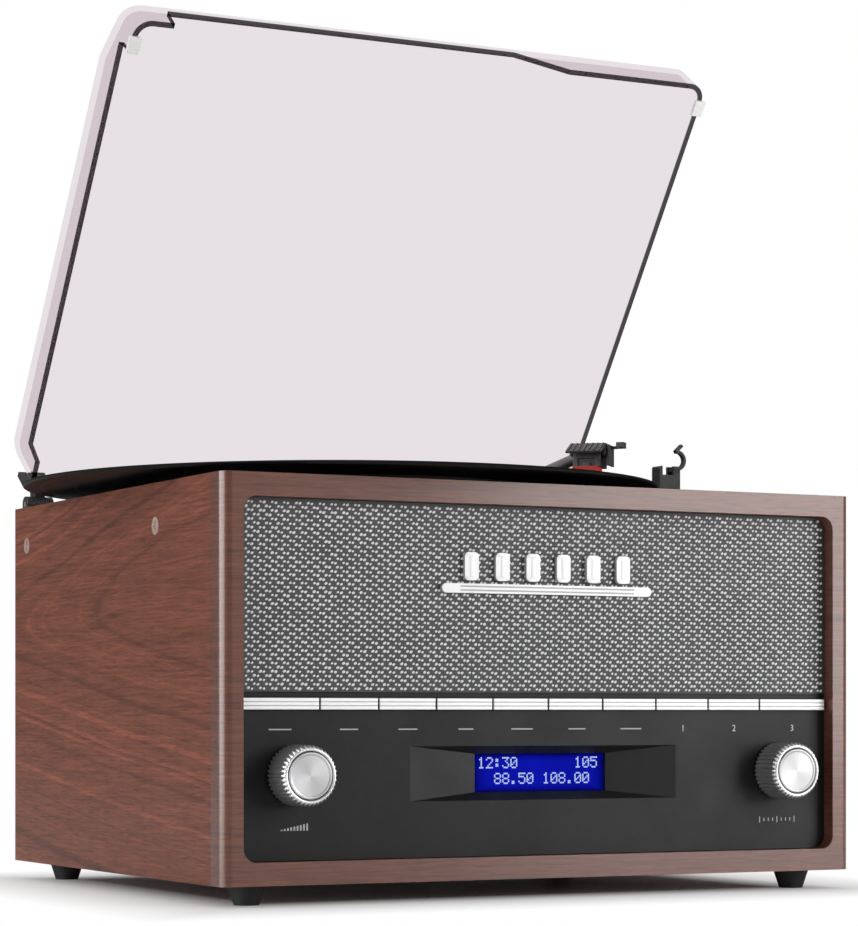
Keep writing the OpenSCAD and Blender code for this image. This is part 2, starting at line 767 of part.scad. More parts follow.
// Slide switch: a knob on the deck, its tongue through the slot and its case under the deck
module slide_knob(y) {
    block([slot_x - 4, y - 2.6, deck_top + 0.3], [slot_x + 4, y + 2.6, deck_top + 4]);
    block([slot_x - slot_w / 2 + seat, y - 2.6, deck_under - 3], [slot_x + slot_w / 2 - seat, y + 2.6, deck_top + 0.3 + eps]);
}

module speed_selector() {
    color([0.14, 0.14, 0.14]) slide_knob(speed_y);
}

module auto_stop_switch() {
    color([0.14, 0.14, 0.14]) slide_knob(stop_y);
}

// Tonearm. The arm's own frame has the pivot at its origin and the headshell towards -Y

module arm_frame() {
    translate([pivot_x, pivot_y, 0]) rotate([0, 0, -arm_angle]) children();
}

cue_reach = cue_r * [sin(park_dir - park_turn / 2), -cos(park_dir - park_turn / 2)];
cue_stem_r = 2.4;
cue_travel = 1.1;
lever_z = arm_base_top + 2.2;
lever_x = plinth_r - 1.6;
pin_top = arm_base_top + 5;

module tonearm_base() {
    color([0.12, 0.12, 0.12]) translate([pivot_x, pivot_y, 0]) difference() {
        union() {
            translate([0, 0, deck_top]) cylinder(h = arm_base_top - deck_top, r = plinth_r);
            translate([0, 0, arm_base_top - eps]) cylinder(h = pin_top - arm_base_top, r = 5);
            translate([cue_reach[0], cue_reach[1], deck_top]) cylinder(h = arm_base_top - deck_top, r = 7);
            rotate([0, 0, park_dir - park_turn / 2]) translate([-6, -cue_r, deck_top])
                cube([12, cue_r, arm_base_top - deck_top]);
            for (x = [lever_x - 1, lever_x + 6]) translate([x, -9, deck_top]) cube([2.5, 12, arm_base_top + 5 - deck_top]);
            translate([lever_x - 1, -9, deck_top]) cube([9.5, 12, 4]);
        }
        translate([cue_reach[0], cue_reach[1], deck_top + 1]) cylinder(h = 20, r = cue_stem_r + play);
        rod_x(-3, lever_z, 1.6, lever_x - 2, lever_x + 10);
    }
}

module cue_lift() {
    top = pivot_z - tube_r - 1.5;
    stem_z = deck_top + 1.6;
    mid = park_dir - park_turn / 2;
    color([0.15, 0.15, 0.15]) translate([pivot_x, pivot_y, 0]) {
        translate([cue_reach[0], cue_reach[1], stem_z]) cylinder(h = top - 1.8 - stem_z + eps, r = cue_stem_r);
        translate([0, 0, top - 1.8]) rotate([0, 0, mid - 90 - 24]) rotate_extrude(angle = 48)
            translate([cue_r - 2, 0]) square([4, 1.8]);
    }
}

module cue_lever() {
    color([0.15, 0.15, 0.15]) translate([pivot_x, pivot_y, 0]) {
        rod_x(-3, lever_z, 1.5, lever_x - 1, lever_x + 8.5);
        rod_x(-3, lever_z, 3, lever_x + 1.9, lever_x + 5.6);
        translate([lever_x + 2.2, -3, lever_z]) rotate([-8, 0, 0]) translate([0, -24, -1.2]) cube([3.1, 24, 2.4]);
        translate([lever_x + 3.75, -3, lever_z]) rotate([-8, 0, 0]) translate([0, -25, -1.4])
            cylinder(h = 2.8, r = 3);
    }
}

module tonearm_yoke() {
    color([0.16, 0.16, 0.16]) arm_frame() difference() {
        union() {
            translate([0, 0, arm_base_top + 0.4]) cylinder(h = 7, r = 10.5);
            for (s = [-1, 1]) translate([s * (cheek_x + cheek_t / 2), 0, arm_base_top + 4])
                block([-cheek_t / 2, -4.5, 0], [cheek_t / 2, 4.5, pivot_z + 2.5 - arm_base_top - 4]);
            rod_x(0, pivot_z + 0.5, 4.5, -cheek_x - cheek_t, -cheek_x);
            rod_x(0, pivot_z + 0.5, 4.5, cheek_x, cheek_x + cheek_t);
        }
        translate([0, 0, arm_base_top]) cylinder(h = pin_top - arm_base_top + 0.3, r = 5 + play);
        rod_x(0, pivot_z, trunnion_r + play, -20, 20);
    }
}

stub_l = 24;

module tonearm_tube() {
    color([0.17, 0.17, 0.17]) arm_frame() {
        rod_y(0, pivot_z, tube_r, -tube_l - 6, stub_l);
        translate([0, stub_l, pivot_z]) sphere(tube_r + 0.6);
        rod_y(0, pivot_z, 4.6, -7, 7);
        rod_x(0, pivot_z, trunnion_r, -cheek_x - cheek_t, cheek_x + cheek_t);
        rod_x(0, pivot_z, 3.4, -cheek_x + 0.3, cheek_x - 0.3);
    }
}

// The headshell's own frame has its origin at the tube's end and its front towards -Y
module head_frame() {
    arm_frame() translate([0, -tube_l, 0]) rotate([0, 0, -head_angle]) children();
}

module headshell() {
    wall = 1.6;
    color([0.14, 0.14, 0.14]) difference() {
        union() {
            head_frame() difference() {
                bar_x(-head_w / 2, head_w / 2) polygon([
                    [4, shell_z], [4, head_top], [-head_l + 9, head_top], [-head_l + 1, shell_z + 3.2],
                    [-head_l + 1, shell_z + 1.6], [-head_l + 4, shell_z]
                ]);
                block([-head_w / 2 + wall, -head_l + 8, shell_z - 1], [head_w / 2 - wall, 4 - wall, head_top - wall]);
                for (i = [0:2]) translate([0, -8 - i * 4, head_top]) cube([head_w - 6, 1.2, 0.9], center = true);
                translate([0, -head_l + 3.2, head_top - 1]) rotate([0, 0, 0]) cube([3.4, 9, 3], center = true);
            }
            head_frame() {
                translate([head_w / 2 - 1, -9, head_top - 2]) rotate([0, 14, 0]) mirror([0, 0, 0]) cube([1, 3, 1]);
                bar_x(head_w / 2 - 1, head_w / 2 + 4) translate([-9, head_top - 2]) square([3, 1.4]);
                translate([head_w / 2 + 3.6, -10, head_top - 2.2]) cube([4.4, 5, 3]);
            }
        }
        arm_frame() rod_y(0, pivot_z, tube_r + 0.02, -tube_l - 7, 30);
    }
}

module cartridge() {
    color([0.05, 0.05, 0.05]) difference() {
        head_frame() {
            block([-head_w / 2 + 2, -head_l + 9, cart_z + 0.05], [head_w / 2 - 2, -2, shell_z + 3]);
            block([-head_w / 2 + 2, -2 - eps, cart_z + 2], [head_w / 2 - 2, 1.2, shell_z + 3]);
        }
        arm_frame() rod_y(0, pivot_z, tube_r + 0.3, -tube_l - 7, 30);
    }
}

module stylus() {
    color([0.85, 0.12, 0.08]) head_frame() {
        block([-5.8, -head_l + 4.5, stylus_z], [5.8, -head_l + 17, cart_z]);
        translate([0, -needle_fwd, needle_z]) cylinder(h = needle_tip_h + eps, r1 = 0.15, r2 = 0.7);
    }
}

// Arm rest with an open notch, and its clip on a pin beside the notch

rest_turn = park_dir;
clip_pin = [notch_w / 2 + 1.7, rest_top - 2.2];

module rest_frame() {
    translate([rest_x, rest_y, 0]) rotate([0, 0, rest_turn]) children();
}

module arm_rest() {
    color([0.14, 0.14, 0.14]) rest_frame() difference() {
        plate_y(-rest_d / 2, rest_d / 2) {
            translate([-rest_w / 2 + 1, deck_top]) square([rest_w, rest_top - 1.2 - deck_top]);
            translate([-rest_w / 2 + 2.2, deck_top]) square([rest_w - 2.4, rest_top - deck_top]);
            for (x = [-rest_w / 2 + 2.2, rest_w / 2 - 0.2]) translate([x, rest_top - 1.2]) circle(1.2);
        }
        block([-notch_w / 2, -rest_d, rest_top - notch_d], [notch_w / 2, rest_d, rest_top + 1]);
        block([notch_w / 2 - eps, -clip_t / 2 - 0.3, rest_top - notch_d - 1], [rest_w, clip_t / 2 + 0.3, rest_top + 1]);
        rod_y(clip_pin[0], clip_pin[1], clip_r + play, -rest_d, rest_d);
    }
}

// The clip is an arch over the notch when closed, with a flared tip to lift it by
module rest_clip() {
    arch_in = tube_r + 0.7;
    arch_out = arch_in + 1.5;
    arch_z = rest_top + 0.8;
    color([0.14, 0.14, 0.14]) rest_frame() {
        translate([clip_pin[0], 0, clip_pin[1]]) rotate([0, clip_open, 0]) translate([-clip_pin[0], 0, -clip_pin[1]]) {
            difference() {
                rod_y(0, arch_z, arch_out, -clip_t / 2, clip_t / 2);
                rod_y(0, arch_z, arch_in, -clip_t, clip_t);
                block([-9, -clip_t, arch_z - 9], [9, clip_t, arch_z]);
            }
            block([arch_in, -clip_t / 2, clip_pin[1] - 0.5], [arch_out, clip_t / 2, arch_z + eps]);
            translate([-arch_in - 0.4, 0, arch_z + 0.2]) rotate([0, -32, 0])
                block([-1.1, -clip_t / 2, 0], [0.3, clip_t / 2, 5]);
            rod_y(clip_pin[0], clip_pin[1], 1.6, -clip_t / 2, clip_t / 2);
        }
        rod_y(clip_pin[0], clip_pin[1], clip_r, -rest_d / 2, rest_d / 2);
    }
}

// Lid and hinges

module lid_frame() {
    translate([0, hinge_y, hinge_z]) rotate([-lid_open, 0, 0]) translate([0, -hinge_y, -hinge_z]) children();
}

// Side view of the lid, drawn inwards by t
module lid_side(t) {
    polygon([
        [lid_y0 + t, lid_z - (t > 0 ? 1 : 0)], [lid_y0 + t, lid_z + lid_front_h - t * 0.5],
        [lid_y0 + bevel_run, lid_z + lid_h - t], [lid_y1 - rear_run, lid_z + lid_h - t],
        [lid_y1 - t, lid_z + rear_h - t * 0.3], [lid_y1 - t, lid_z - (t > 0 ? 1 : 0)]
    ]);
}

module lid_body(t) {
    intersection() {
        bar_x(-lid_w / 2 + t, lid_w / 2 - t) lid_side(t);
        translate([0, (lid_y0 + lid_y1) / 2, lid_z - 2]) linear_extrude(lid_h + 4)
            round_rect(lid_w - 2 * t, lid_l - 2 * t, lid_corner_r - t);
    }
}

notch_pad = 3.5;
ramp = 25;
function chord(d) = sqrt(record_r * record_r - d * d);
left_half = chord(lid_w / 2 - spindle_x - lid_t) + notch_pad;
front_half = chord(spindle_y - lid_y0 - lid_t) + notch_pad;
back_half = chord(lid_y1 - lid_t - spindle_y) + notch_pad;

// Notch seen from the side, as a drawing: half-length h, with a slope of its own at each end
module notch_shape(h, low_end, high_end) {
    polygon([[-h - low_end, -1], [-h - low_end, 0], [-h, notch_h], [h, notch_h], [h + high_end, 0], [h + high_end, -1]]);
}

module lid_cover() {
    color([0.85, 0.82, 0.84, 0.35]) lid_frame() difference() {
        lid_body(0);
        lid_body(lid_t);
        bar_x(-lid_w / 2 - 1, -lid_w / 2 + lid_t + 8) translate([spindle_y, lid_z]) notch_shape(left_half, 1, 2);
        plate_y(lid_y0 - 1, lid_y0 + lid_t + 8) translate([-spindle_x, lid_z]) notch_shape(front_half, 1, ramp);
        plate_y(lid_y1 - lid_t - 8, lid_y1 + 1) translate([-spindle_x, lid_z]) notch_shape(back_half, 4, 4);
    }
}

bumper_h = lid_gap - 0.4;

module lid_bumpers() {
    color([0.95, 0.95, 0.93]) lid_frame() for (s = [-1, 1]) translate([s * (lid_w / 2 - lid_t / 2), lid_y0 + 8, 0])
        block([-3, 0, lid_z - bumper_h], [3, 8, lid_z]);
}

module at_hinges() {
    for (s = [-1, 1]) translate([s * hinge_in, 0, 0]) children();
}

module hinge_bases() {
    color([0.10, 0.10, 0.10]) at_hinges() difference() {
        union() {
            block([-leaf_w / 2, cab_d + 0.1, z_top - 22], [leaf_w / 2, cab_d + 3, hinge_z]);
            for (x = [-leaf_w / 2, leaf_w / 2 - ear_w]) {
                rod_x(hinge_y, hinge_z, barrel_r, x, x + ear_w);
                block([x, cab_d + 0.1, hinge_z - 7], [x + ear_w, hinge_y + 2, hinge_z - 2]);
            }
        }
        rod_x(hinge_y, hinge_z, pin_r + 0.02, -leaf_w, leaf_w);
        rod_x(hinge_y, hinge_z, barrel_r + 0.3, -leaf_w / 2 + ear_w, leaf_w / 2 - ear_w);
    }
}

module hinge_pins() {
    color([0.75, 0.75, 0.76]) at_hinges() rod_x(hinge_y, hinge_z, pin_r, -leaf_w / 2, leaf_w / 2);
}

module lid_brackets() {
    mid = leaf_w / 2 - ear_w - 0.3;
    color([0.10, 0.10, 0.10]) lid_frame() at_hinges() difference() {
        union() {
            rod_x(hinge_y, hinge_z, barrel_r - 0.2, -mid, mid);
            bar_x(-mid, mid) polygon([
                [lid_y1, lid_z + 1], [lid_y1 + 2, lid_z + 1], [hinge_y + 1, hinge_z - 1], [hinge_y + 2.6, hinge_z + 2.4],
                [lid_y1 + 2.5, lid_z + 12], [lid_y1, lid_z + 12]
            ]);
            block([-leaf_w / 2, lid_y1, lid_z + 6], [leaf_w / 2, lid_y1 + 2.5, lid_z + 19]);
        }
        rod_x(hinge_y, hinge_z, pin_r + play, -leaf_w, leaf_w);
    }
}

// Moves a piece into the frame whose origin lies under the middle of the whole
module placed() {
    translate([-mid_x, -mid_y, 0]) children();
}

placed() {
    front_frame();
    side_panel(-1);  // side_panel_left
    side_panel(1);  // side_panel_right
    bottom_panel();
    back_panel();
    baffle_board();
    speaker_grille();
    badge();
    control_panel();
    display_lens();
    lcd_module();
    control_board();
    main_board();
    key(0);  // key_01
    key(1);  // key_02
    key(2);  // key_03
    key(3);  // key_04
    key(4);  // key_05
    key(5);  // key_06
    key(6);  // key_07
    key(7);  // key_08
    key(8);  // key_09
    key(9);  // key_10
    knob(-1);  // volume_knob
    knob_cap(-1);  // volume_knob_cap
    knob_shaft(-1);  // volume_shaft
    knob(1);  // tune_knob
    knob_cap(1);  // tune_knob_cap
    knob_shaft(1);  // tune_shaft
    encoders();
    speaker(-1);  // speaker_left
    speaker(1);  // speaker_right
    deck_plate();
    drive_motor();
    motor_pulley();
    drive_belt();
    platter();
    platter_mat();
    spindle();
    record();
    tonearm_base();
    tonearm_yoke();
    tonearm_tube();
    headshell();
    cartridge();
    stylus();
    arm_rest();
    rest_clip();
    cue_lever();
    cue_lift();
    speed_selector();
    auto_stop_switch();
    hinge_bases();
    hinge_pins();
    lid_brackets();
    lid_cover();
    lid_bumpers();
    feet();
    cabinet_screws();
    rear_sockets();
}
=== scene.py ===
"""Looks of a retro stereo music centre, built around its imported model.

The frame is in metres, with +X to the right, +Y to the back, +Z up and its origin on the floor. The
sizes of the sub-assemblies are in the cabinet's own millimetres, from the middle of its front edge, and
`at` and `Shell.build` turn them into the frame. Measures of finishes are in metres unless they say _mm.
"""

import logging
import math
from collections.abc import Callable
from dataclasses import dataclass, field
from enum import Enum, StrEnum

import bmesh
import bpy
import numpy as np
from mathutils import Matrix, Vector

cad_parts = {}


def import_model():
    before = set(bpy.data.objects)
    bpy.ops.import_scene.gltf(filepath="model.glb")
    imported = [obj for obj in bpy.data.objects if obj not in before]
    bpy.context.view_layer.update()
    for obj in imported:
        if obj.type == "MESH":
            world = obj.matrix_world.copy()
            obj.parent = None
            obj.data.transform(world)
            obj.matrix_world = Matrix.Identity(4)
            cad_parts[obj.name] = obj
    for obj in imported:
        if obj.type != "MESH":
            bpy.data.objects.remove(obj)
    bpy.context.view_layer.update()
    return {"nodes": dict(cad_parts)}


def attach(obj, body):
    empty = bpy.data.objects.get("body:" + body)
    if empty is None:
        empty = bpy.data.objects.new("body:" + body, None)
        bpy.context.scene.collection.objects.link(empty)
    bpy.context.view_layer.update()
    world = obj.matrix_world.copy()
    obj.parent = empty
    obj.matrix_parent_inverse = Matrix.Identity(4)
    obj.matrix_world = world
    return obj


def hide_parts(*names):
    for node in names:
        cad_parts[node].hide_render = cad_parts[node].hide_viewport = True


log = logging.getLogger("music_centre")
MM = 0.001
SHIFT_MM = np.array([16.4, -131.399, 0.0])
# Metres under which two points are one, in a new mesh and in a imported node.
DOUBLES, NODE_DOUBLES = 2e-6, 4e-6
# Degrees past which an edge is shaded sharp, and past which it is rounded.
CREASE, BEND = 28.0, 32.0
Colour = Direction = Point = tuple[float, float, float]
Array = np.ndarray
Piece = bpy.types.Object
Node = bpy.types.Node
Socket = bpy.types.NodeSocket
Sockets = dict[str, Socket]


class Axis(Enum):
    """Axis of the frame that a profile turns round."""

    UPRIGHT = "z"
    BACK = "y"


class Body(StrEnum):
    """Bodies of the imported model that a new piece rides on, apart from the keys' own."""

    CABINET = "cabinet"
    VOLUME = "volume_dial"
    TUNE = "tune_dial"
    TURNTABLE = "turntable"
    ARM = "arm"


def at(x: float, y: float, z: float) -> Vector:
    """Point of the frame for a point in the cabinet's millimetres, from the middle of its front edge."""
    return Vector((np.array([x, y, z]) + SHIFT_MM) * MM)


def srgb(r: float, g: float, b: float) -> Colour:
    """Linear colour of an sRGB one with channels from 0 to 255.

    Args:
        r: red.
        g: green.
        b: blue.

    Returns:
        Linear red, green and blue, from 0 to 1.
    """
    c = np.array([r, g, b]) / 255.0
    linear = np.where(c <= 0.04045, c / 12.92, ((c + 0.055) / 1.055) ** 2.4)
    return tuple(float(v) for v in linear)


def link(name: str, data: bpy.types.ID) -> Piece:
    """New object with the given data, in the scene.

    Args:
        name: the object's name.
        data: its mesh, lamp, camera or curve.

    Returns:
        The object.
    """
    made = bpy.data.objects.new(name, data)
    bpy.context.scene.collection.objects.link(made)
    return made


# --------------------------------------------------------------------------- meshes


@dataclass
class Shell:
    """Collects grids of points, in the cabinet's millimetres, into one mesh."""

    points: list[Array] = field(default_factory=list)
    faces: list[Array] = field(default_factory=list)
    count: int = 0

    def grid(self, p: Array, wrap_v: bool = False, flip: bool = False) -> "Shell":
        """Adds the surface p(u, v) as quads between neighbouring points.

        Args:
            p: points of shape (u, v, 3).
            wrap_v: joins the last column to the first.
            flip: turns the faces over.

        Returns:
            This shell.
        """
        nu, nv = p.shape[:2]
        a, b = np.meshgrid(np.arange(nu - 1), np.arange(nv if wrap_v else nv - 1), indexing="ij")
        b1 = (b + 1) % nv
        quads = np.stack([a * nv + b, (a + 1) * nv + b, (a + 1) * nv + b1, a * nv + b1], -1).reshape(-1, 4)
        return self.add(p.reshape(-1, 3), quads[:, ::-1] if flip else quads)

    def many(self, p: Array, centres: Array) -> "Shell":
        """Adds one small grid, closed along v, at each centre: point (i, u, v) is centre i plus p(u, v).

        Args:
            p: points of shape (u, v, 3), or (n, u, v, 3) with one grid for each centre.
            centres: places of shape (n, 3).

        Returns:
            This shell.
        """
        n = len(centres)
        block = (p if p.ndim == 4 else p[None]) + centres[:, None, None, :]
        nu, nv = block.shape[1:3]
        a, b = np.meshgrid(np.arange(nu - 1), np.arange(nv), indexing="ij")
        b1 = (b + 1) % nv
        quads = np.stack([a * nv + b, (a + 1) * nv + b, (a + 1) * nv + b1, a * nv + b1], -1).reshape(-1, 4)
        offset = (np.arange(n) * nu * nv)[:, None, None]
        return self.add(block.reshape(-1, 3), (quads[None] + offset).reshape(-1, 4))

    def add(self, p: Array, faces: Array) -> "Shell":
        """Adds points and the faces between them.

        Args:
            p: points of shape (n, 3).
            faces: numbers of each face's points.

        Returns:
            This shell.
        """
        self.points.append(p)
        self.faces.append(faces + self.count)
        self.count += len(p)
        return self

    def blocks(self, corners: Array, place: Callable[[Array], Array]) -> "Shell":
        """Adds boxes: each point is its low corner plus a share of the way to its high one.

        Args:
            corners: low and high corner of each box, of shape (n, 6).
            place: function that puts points in the cabinet.

        Returns:
            This shell.
        """
        low, high = corners[:, None, None, :3], corners[:, None, None, 3:]
        share = np.full((4, 2), 0.5)
        ring = np.array([[0.0, 0.0], [1.0, 0.0], [1.0, 1.0], [0.0, 1.0]])
        flat = np.stack([share, ring, ring, share])
        up = np.array([0.0, 0.0, 1.0, 1.0])[:, None, None] + 0 * flat[..., :1]
        p = low + (high - low) * np.concatenate([flat, up], -1)[None]
        return self.many(place(p), np.zeros((len(corners), 3)))

    def lathe(self, profile: Array, centre: Array, axis: Axis, steps: int) -> "Shell":
        """Adds the profile (radius, height) turned once round an axis through the centre.

        Args:
            profile: points of shape (n, 2). A radius of 0 at an end closes it in a point.
            centre: point on the axis, in the cabinet's millimetres.
            axis: the axis of the frame that it turns round.
            steps: number of points round the circle.

        Returns:
            This shell.
        """
        t = np.linspace(0, 2 * np.pi, steps, endpoint=False)
        r, h = profile[:, 0][:, None], profile[:, 1][:, None]
        c, s, up = r * np.cos(t), r * np.sin(t), h + 0 * t
        p = np.stack([c, s, up] if axis is Axis.UPRIGHT else [c, up, -s], -1)
        return self.grid(p + centre, wrap_v=True, flip=True)

    def build(self, name: str, smooth: bool = True, merge: float = DOUBLES) -> Piece:
        """Makes the object in the frame, with doubles merged and its faces outward.

        Args:
            name: the object's name.
            smooth: shades its faces smooth.
            merge: metres under which points are merged, or 0 to leave them.

        Returns:
            The object.
        """
        p = np.concatenate([(q + SHIFT_MM) * MM for q in self.points])
        f = np.concatenate(self.faces)
        mesh = bpy.data.meshes.new(name)
        mesh.from_pydata(p.tolist(), [], f.tolist())
        mesh.update()
        mesh.polygons.foreach_set("use_smooth", np.full(len(mesh.polygons), smooth))
        made = link(name, mesh)
        if merge:
            weld_mesh(made, merge)
        return made


def weld_mesh(made: Piece, distance: float) -> None:
    """Merges doubles, drops faces that closed up, and turns closed parts outward.

    Args:
        made: the object.
        distance: metres under which points are merged.
    """
    bm = bmesh.new()
    bm.from_mesh(made.data)
    bmesh.ops.remove_doubles(bm, verts=bm.verts, dist=distance)
    bmesh.ops.dissolve_degenerate(bm, edges=bm.edges, dist=distance / 2)
    bmesh.ops.recalc_face_normals(bm, faces=bm.faces)
    bm.to_mesh(made.data)
    bm.free()


def wear(made: Piece, finish: "Finish") -> None:
    """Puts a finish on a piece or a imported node, in place of what it had.

    Args:
        made: the piece or node.
        finish: its new finish.
    """
    made.data.materials.clear()
    made.data.materials.append(finish.material())
    log.info("%s: %s", made.name, finish.name)


def dress(made: Piece, body: str, finish: "Finish") -> Piece:
    """Gives a new piece its finish and the body that it rides on.

    Args:
        made: the piece.
        body: name of the body.
        finish: its finish.

    Returns:
        The same piece.
    """
    wear(made, finish)
    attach(made, str(body))
    log.info("piece %s: %d faces", made.name, len(made.data.polygons))
    return made


def bevel(made: Piece, width_mm: float, segments: int = 2) -> None:
    """Rounds the sharp edges of a piece and smooths its shading.

    Args:
        made: the piece.
        width_mm: width of the rounding.
        segments: steps of the rounding.
    """
    cut = made.modifiers.new("round", "BEVEL")
    cut.width = width_mm * MM
    cut.segments = segments
    cut.limit_method = "ANGLE"
    cut.angle_limit = math.radians(BEND)
    cut.use_clamp_overlap = True
    flat = made.modifiers.new("flat faces", "WEIGHTED_NORMAL")
    flat.mode, flat.weight, flat.keep_sharp = "FACE_AREA", 100, False


def soften_node(node: Piece, width_mm: float, segments: int = 2) -> None:
    """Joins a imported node's loose triangles, rounds its edges and smooths it, as modifiers only.

    Args:
        node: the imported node.
        width_mm: width of the rounding, or 0 for none.
        segments: steps of the rounding.
    """
    weld = node.modifiers.new("join", "WELD")
    weld.merge_threshold = NODE_DOUBLES
    node.data.polygons.foreach_set("use_smooth", np.full(len(node.data.polygons), True))
    if width_mm:
        bevel(node, width_mm, segments)
    else:
        split = node.modifiers.new("edges", "EDGE_SPLIT")
        split.split_angle = math.radians(CREASE)


# --------------------------------------------------------------------------- shader nodes


class Graph:
    """Short way to place shader nodes and join them in one tree."""

    def __init__(self, tree: bpy.types.NodeTree) -> None:
        """Works on the given node tree."""
        self.tree = tree

    def put(self, kind: str, **inputs: object) -> Node:
        """Adds a node. Names that are its properties are set, all others are its sockets.

        Args:
            kind: Blender's name of the node type.
            inputs: values, or sockets to link from. Blanks in a socket's name are written as _.

        Returns:
            The node.
        """
        node = self.tree.nodes.new(kind)
        for key in [k for k in inputs if hasattr(node, k) and k not in ("inputs", "outputs")]:
            setattr(node, key, inputs.pop(key))
        for key, value in inputs.items():
            name = key.replace("_", " ")
            socket = node.inputs[int(key[1:])] if key[0] == "i" and key[1:].isdigit() else node.inputs[name]
            self.give(socket, value)
        return node

    def give(self, socket: Socket, value: object) -> None:
        """Links a socket, or sets its value.

        Args:
            socket: the input.
            value: a socket, a number, or a vector or colour.
        """
        if isinstance(value, Socket):
            self.tree.links.new(value, socket)
        elif isinstance(value, tuple) and socket.type == "RGBA" and len(value) == 3:
            socket.default_value = (*value, 1.0)
        else:
            socket.default_value = value

    def place(self) -> Socket:
        """Object coordinates."""
        return self.put("ShaderNodeTexCoord").outputs["Object"]

    def math(self, op: str, a: object, b: object = 0.0, clamp: bool = False) -> Socket:
        """One operation on numbers."""
        return self.put("ShaderNodeMath", operation=op, use_clamp=clamp, i0=a, i1=b).outputs[0]

    def add(self, a: object, b: object, clamp: bool = False) -> Socket:
        """Sum of two numbers."""
        return self.math("ADD", a, b, clamp)

    def sub(self, a: object, b: object) -> Socket:
        """First number less the second."""
        return self.math("SUBTRACT", a, b)

    def mul(self, a: object, b: object) -> Socket:
        """Product of two numbers."""
        return self.math("MULTIPLY", a, b)

    def div(self, a: object, b: object) -> Socket:
        """First number over the second."""
        return self.math("DIVIDE", a, b)

    def off(self, a: object, b: object) -> Socket:
        """First vector less the second."""
        return self.put("ShaderNodeVectorMath", operation="SUBTRACT", i0=a, i1=b).outputs[0]

    def dot(self, a: object, b: object) -> Socket:
        """Dot product of two vectors."""
        return self.put("ShaderNodeVectorMath", operation="DOT_PRODUCT", i0=a, i1=b).outputs["Value"]

    def noise(self, vector: object, scale: float, detail: float = 2, rough: float = 0.5) -> Socket:
        """Smooth noise of about 0 to 1."""
        node = self.put("ShaderNodeTexNoise", Vector=vector, Scale=scale, Detail=detail, Roughness=rough)
        return node.outputs[0]

    def strand(self, value: object, scale: float = 5.0, detail: float = 2, rough: float = 0.5) -> Socket:
        """Noise of about 0 to 1 along one number.

        Args:
            value: the number.
            scale: cells to one unit of it.
            detail: layers of finer noise.
            rough: their strength.

        Returns:
            The noise.
        """
        node = self.put("ShaderNodeTexNoise", noise_dimensions="1D", W=value, Scale=scale, Detail=detail,
                        Roughness=rough)
        return node.outputs[0]

    def stretch(self, vector: object, scale: Point) -> Socket:
        """The vector with each axis scaled by its own factor."""
        return self.put("ShaderNodeVectorMath", operation="MULTIPLY", i0=vector, i1=scale).outputs[0]

    def span(self, value: object, low: float, high: float, a: float = 0, b: float = 1) -> Socket:
        """Value mapped from low..high to a..b and kept inside it."""
        node = self.put("ShaderNodeMapRange", clamp=True, i0=value, i1=low, i2=high, i3=a, i4=b)
        return node.outputs[0]

    def blend(self, share: object, a: object, b: object, kind: str = "MIX") -> Socket:
        """Colour a where the share is 0 and b where it is 1.

        Args:
            share: share of b.
            a: first colour.
            b: second colour.
            kind: Blender's name of the blend.

        Returns:
            The blended colour.
        """
        node = self.tree.nodes.new("ShaderNodeMix")
        node.data_type, node.blend_type = "RGBA", kind
        for socket, value in zip((node.inputs[0], node.inputs[6], node.inputs[7]), (share, a, b)):
            self.give(socket, value)
        return node.outputs[2]

    def ramp(self, value: object, stops: list[tuple[float, Colour]]) -> Socket:
        """Colour ramp through the given stops.

        Args:
            value: number from 0 to 1.
            stops: place and colour of each stop.

        Returns:
            The colour at that number.
        """
        node = self.put("ShaderNodeValToRGB", i0=value)
        node.color_ramp.interpolation = "EASE"
        while len(node.color_ramp.elements) < len(stops):
            node.color_ramp.elements.new(0.5)
        for element, (place, colour) in zip(node.color_ramp.elements, stops):
            element.position, element.color = place, (*colour, 1)
        return node.outputs[0]


Fill = Callable[[Graph, Sockets], list[Socket]]


@dataclass(frozen=True)
class Effect:
    """A look that several materials share: a node group, made once and placed with each one's own values."""

    name: str
    inputs: dict[str, object]
    outputs: tuple[str, ...]
    fill: Fill

    def tree(self) -> bpy.types.NodeTree:
        """The group, made at its first use.

        An input is a vector if its default is a tuple, and otherwise a number. An output is a colour if it
        is named Colour, and otherwise a number.

        Returns:
            The group's tree.
        """
        found = bpy.data.node_groups.get(self.name)
        if found:
            return found
        tree = bpy.data.node_groups.new(self.name, "ShaderNodeTree")
        for key, value in self.inputs.items():
            kind = "NodeSocketVector" if isinstance(value, tuple) else "NodeSocketFloat"
            tree.interface.new_socket(key, in_out="INPUT", socket_type=kind).default_value = value
        for key in self.outputs:
            kind = "NodeSocketColor" if key == "Colour" else "NodeSocketFloat"
            tree.interface.new_socket(key, in_out="OUTPUT", socket_type=kind)
        g = Graph(tree)
        start, end = tree.nodes.new("NodeGroupInput"), tree.nodes.new("NodeGroupOutput")
        made = self.fill(g, {key: start.outputs[key] for key in self.inputs})
        for socket, value in zip(end.inputs, made):
            g.give(socket, value)
        return tree

    def on(self, g: Graph, **values: object) -> Node:
        """Places the group in a material, on Object coordinates."""
        return g.put("ShaderNodeGroup", node_tree=self.tree(), Vector=g.place(), **values)


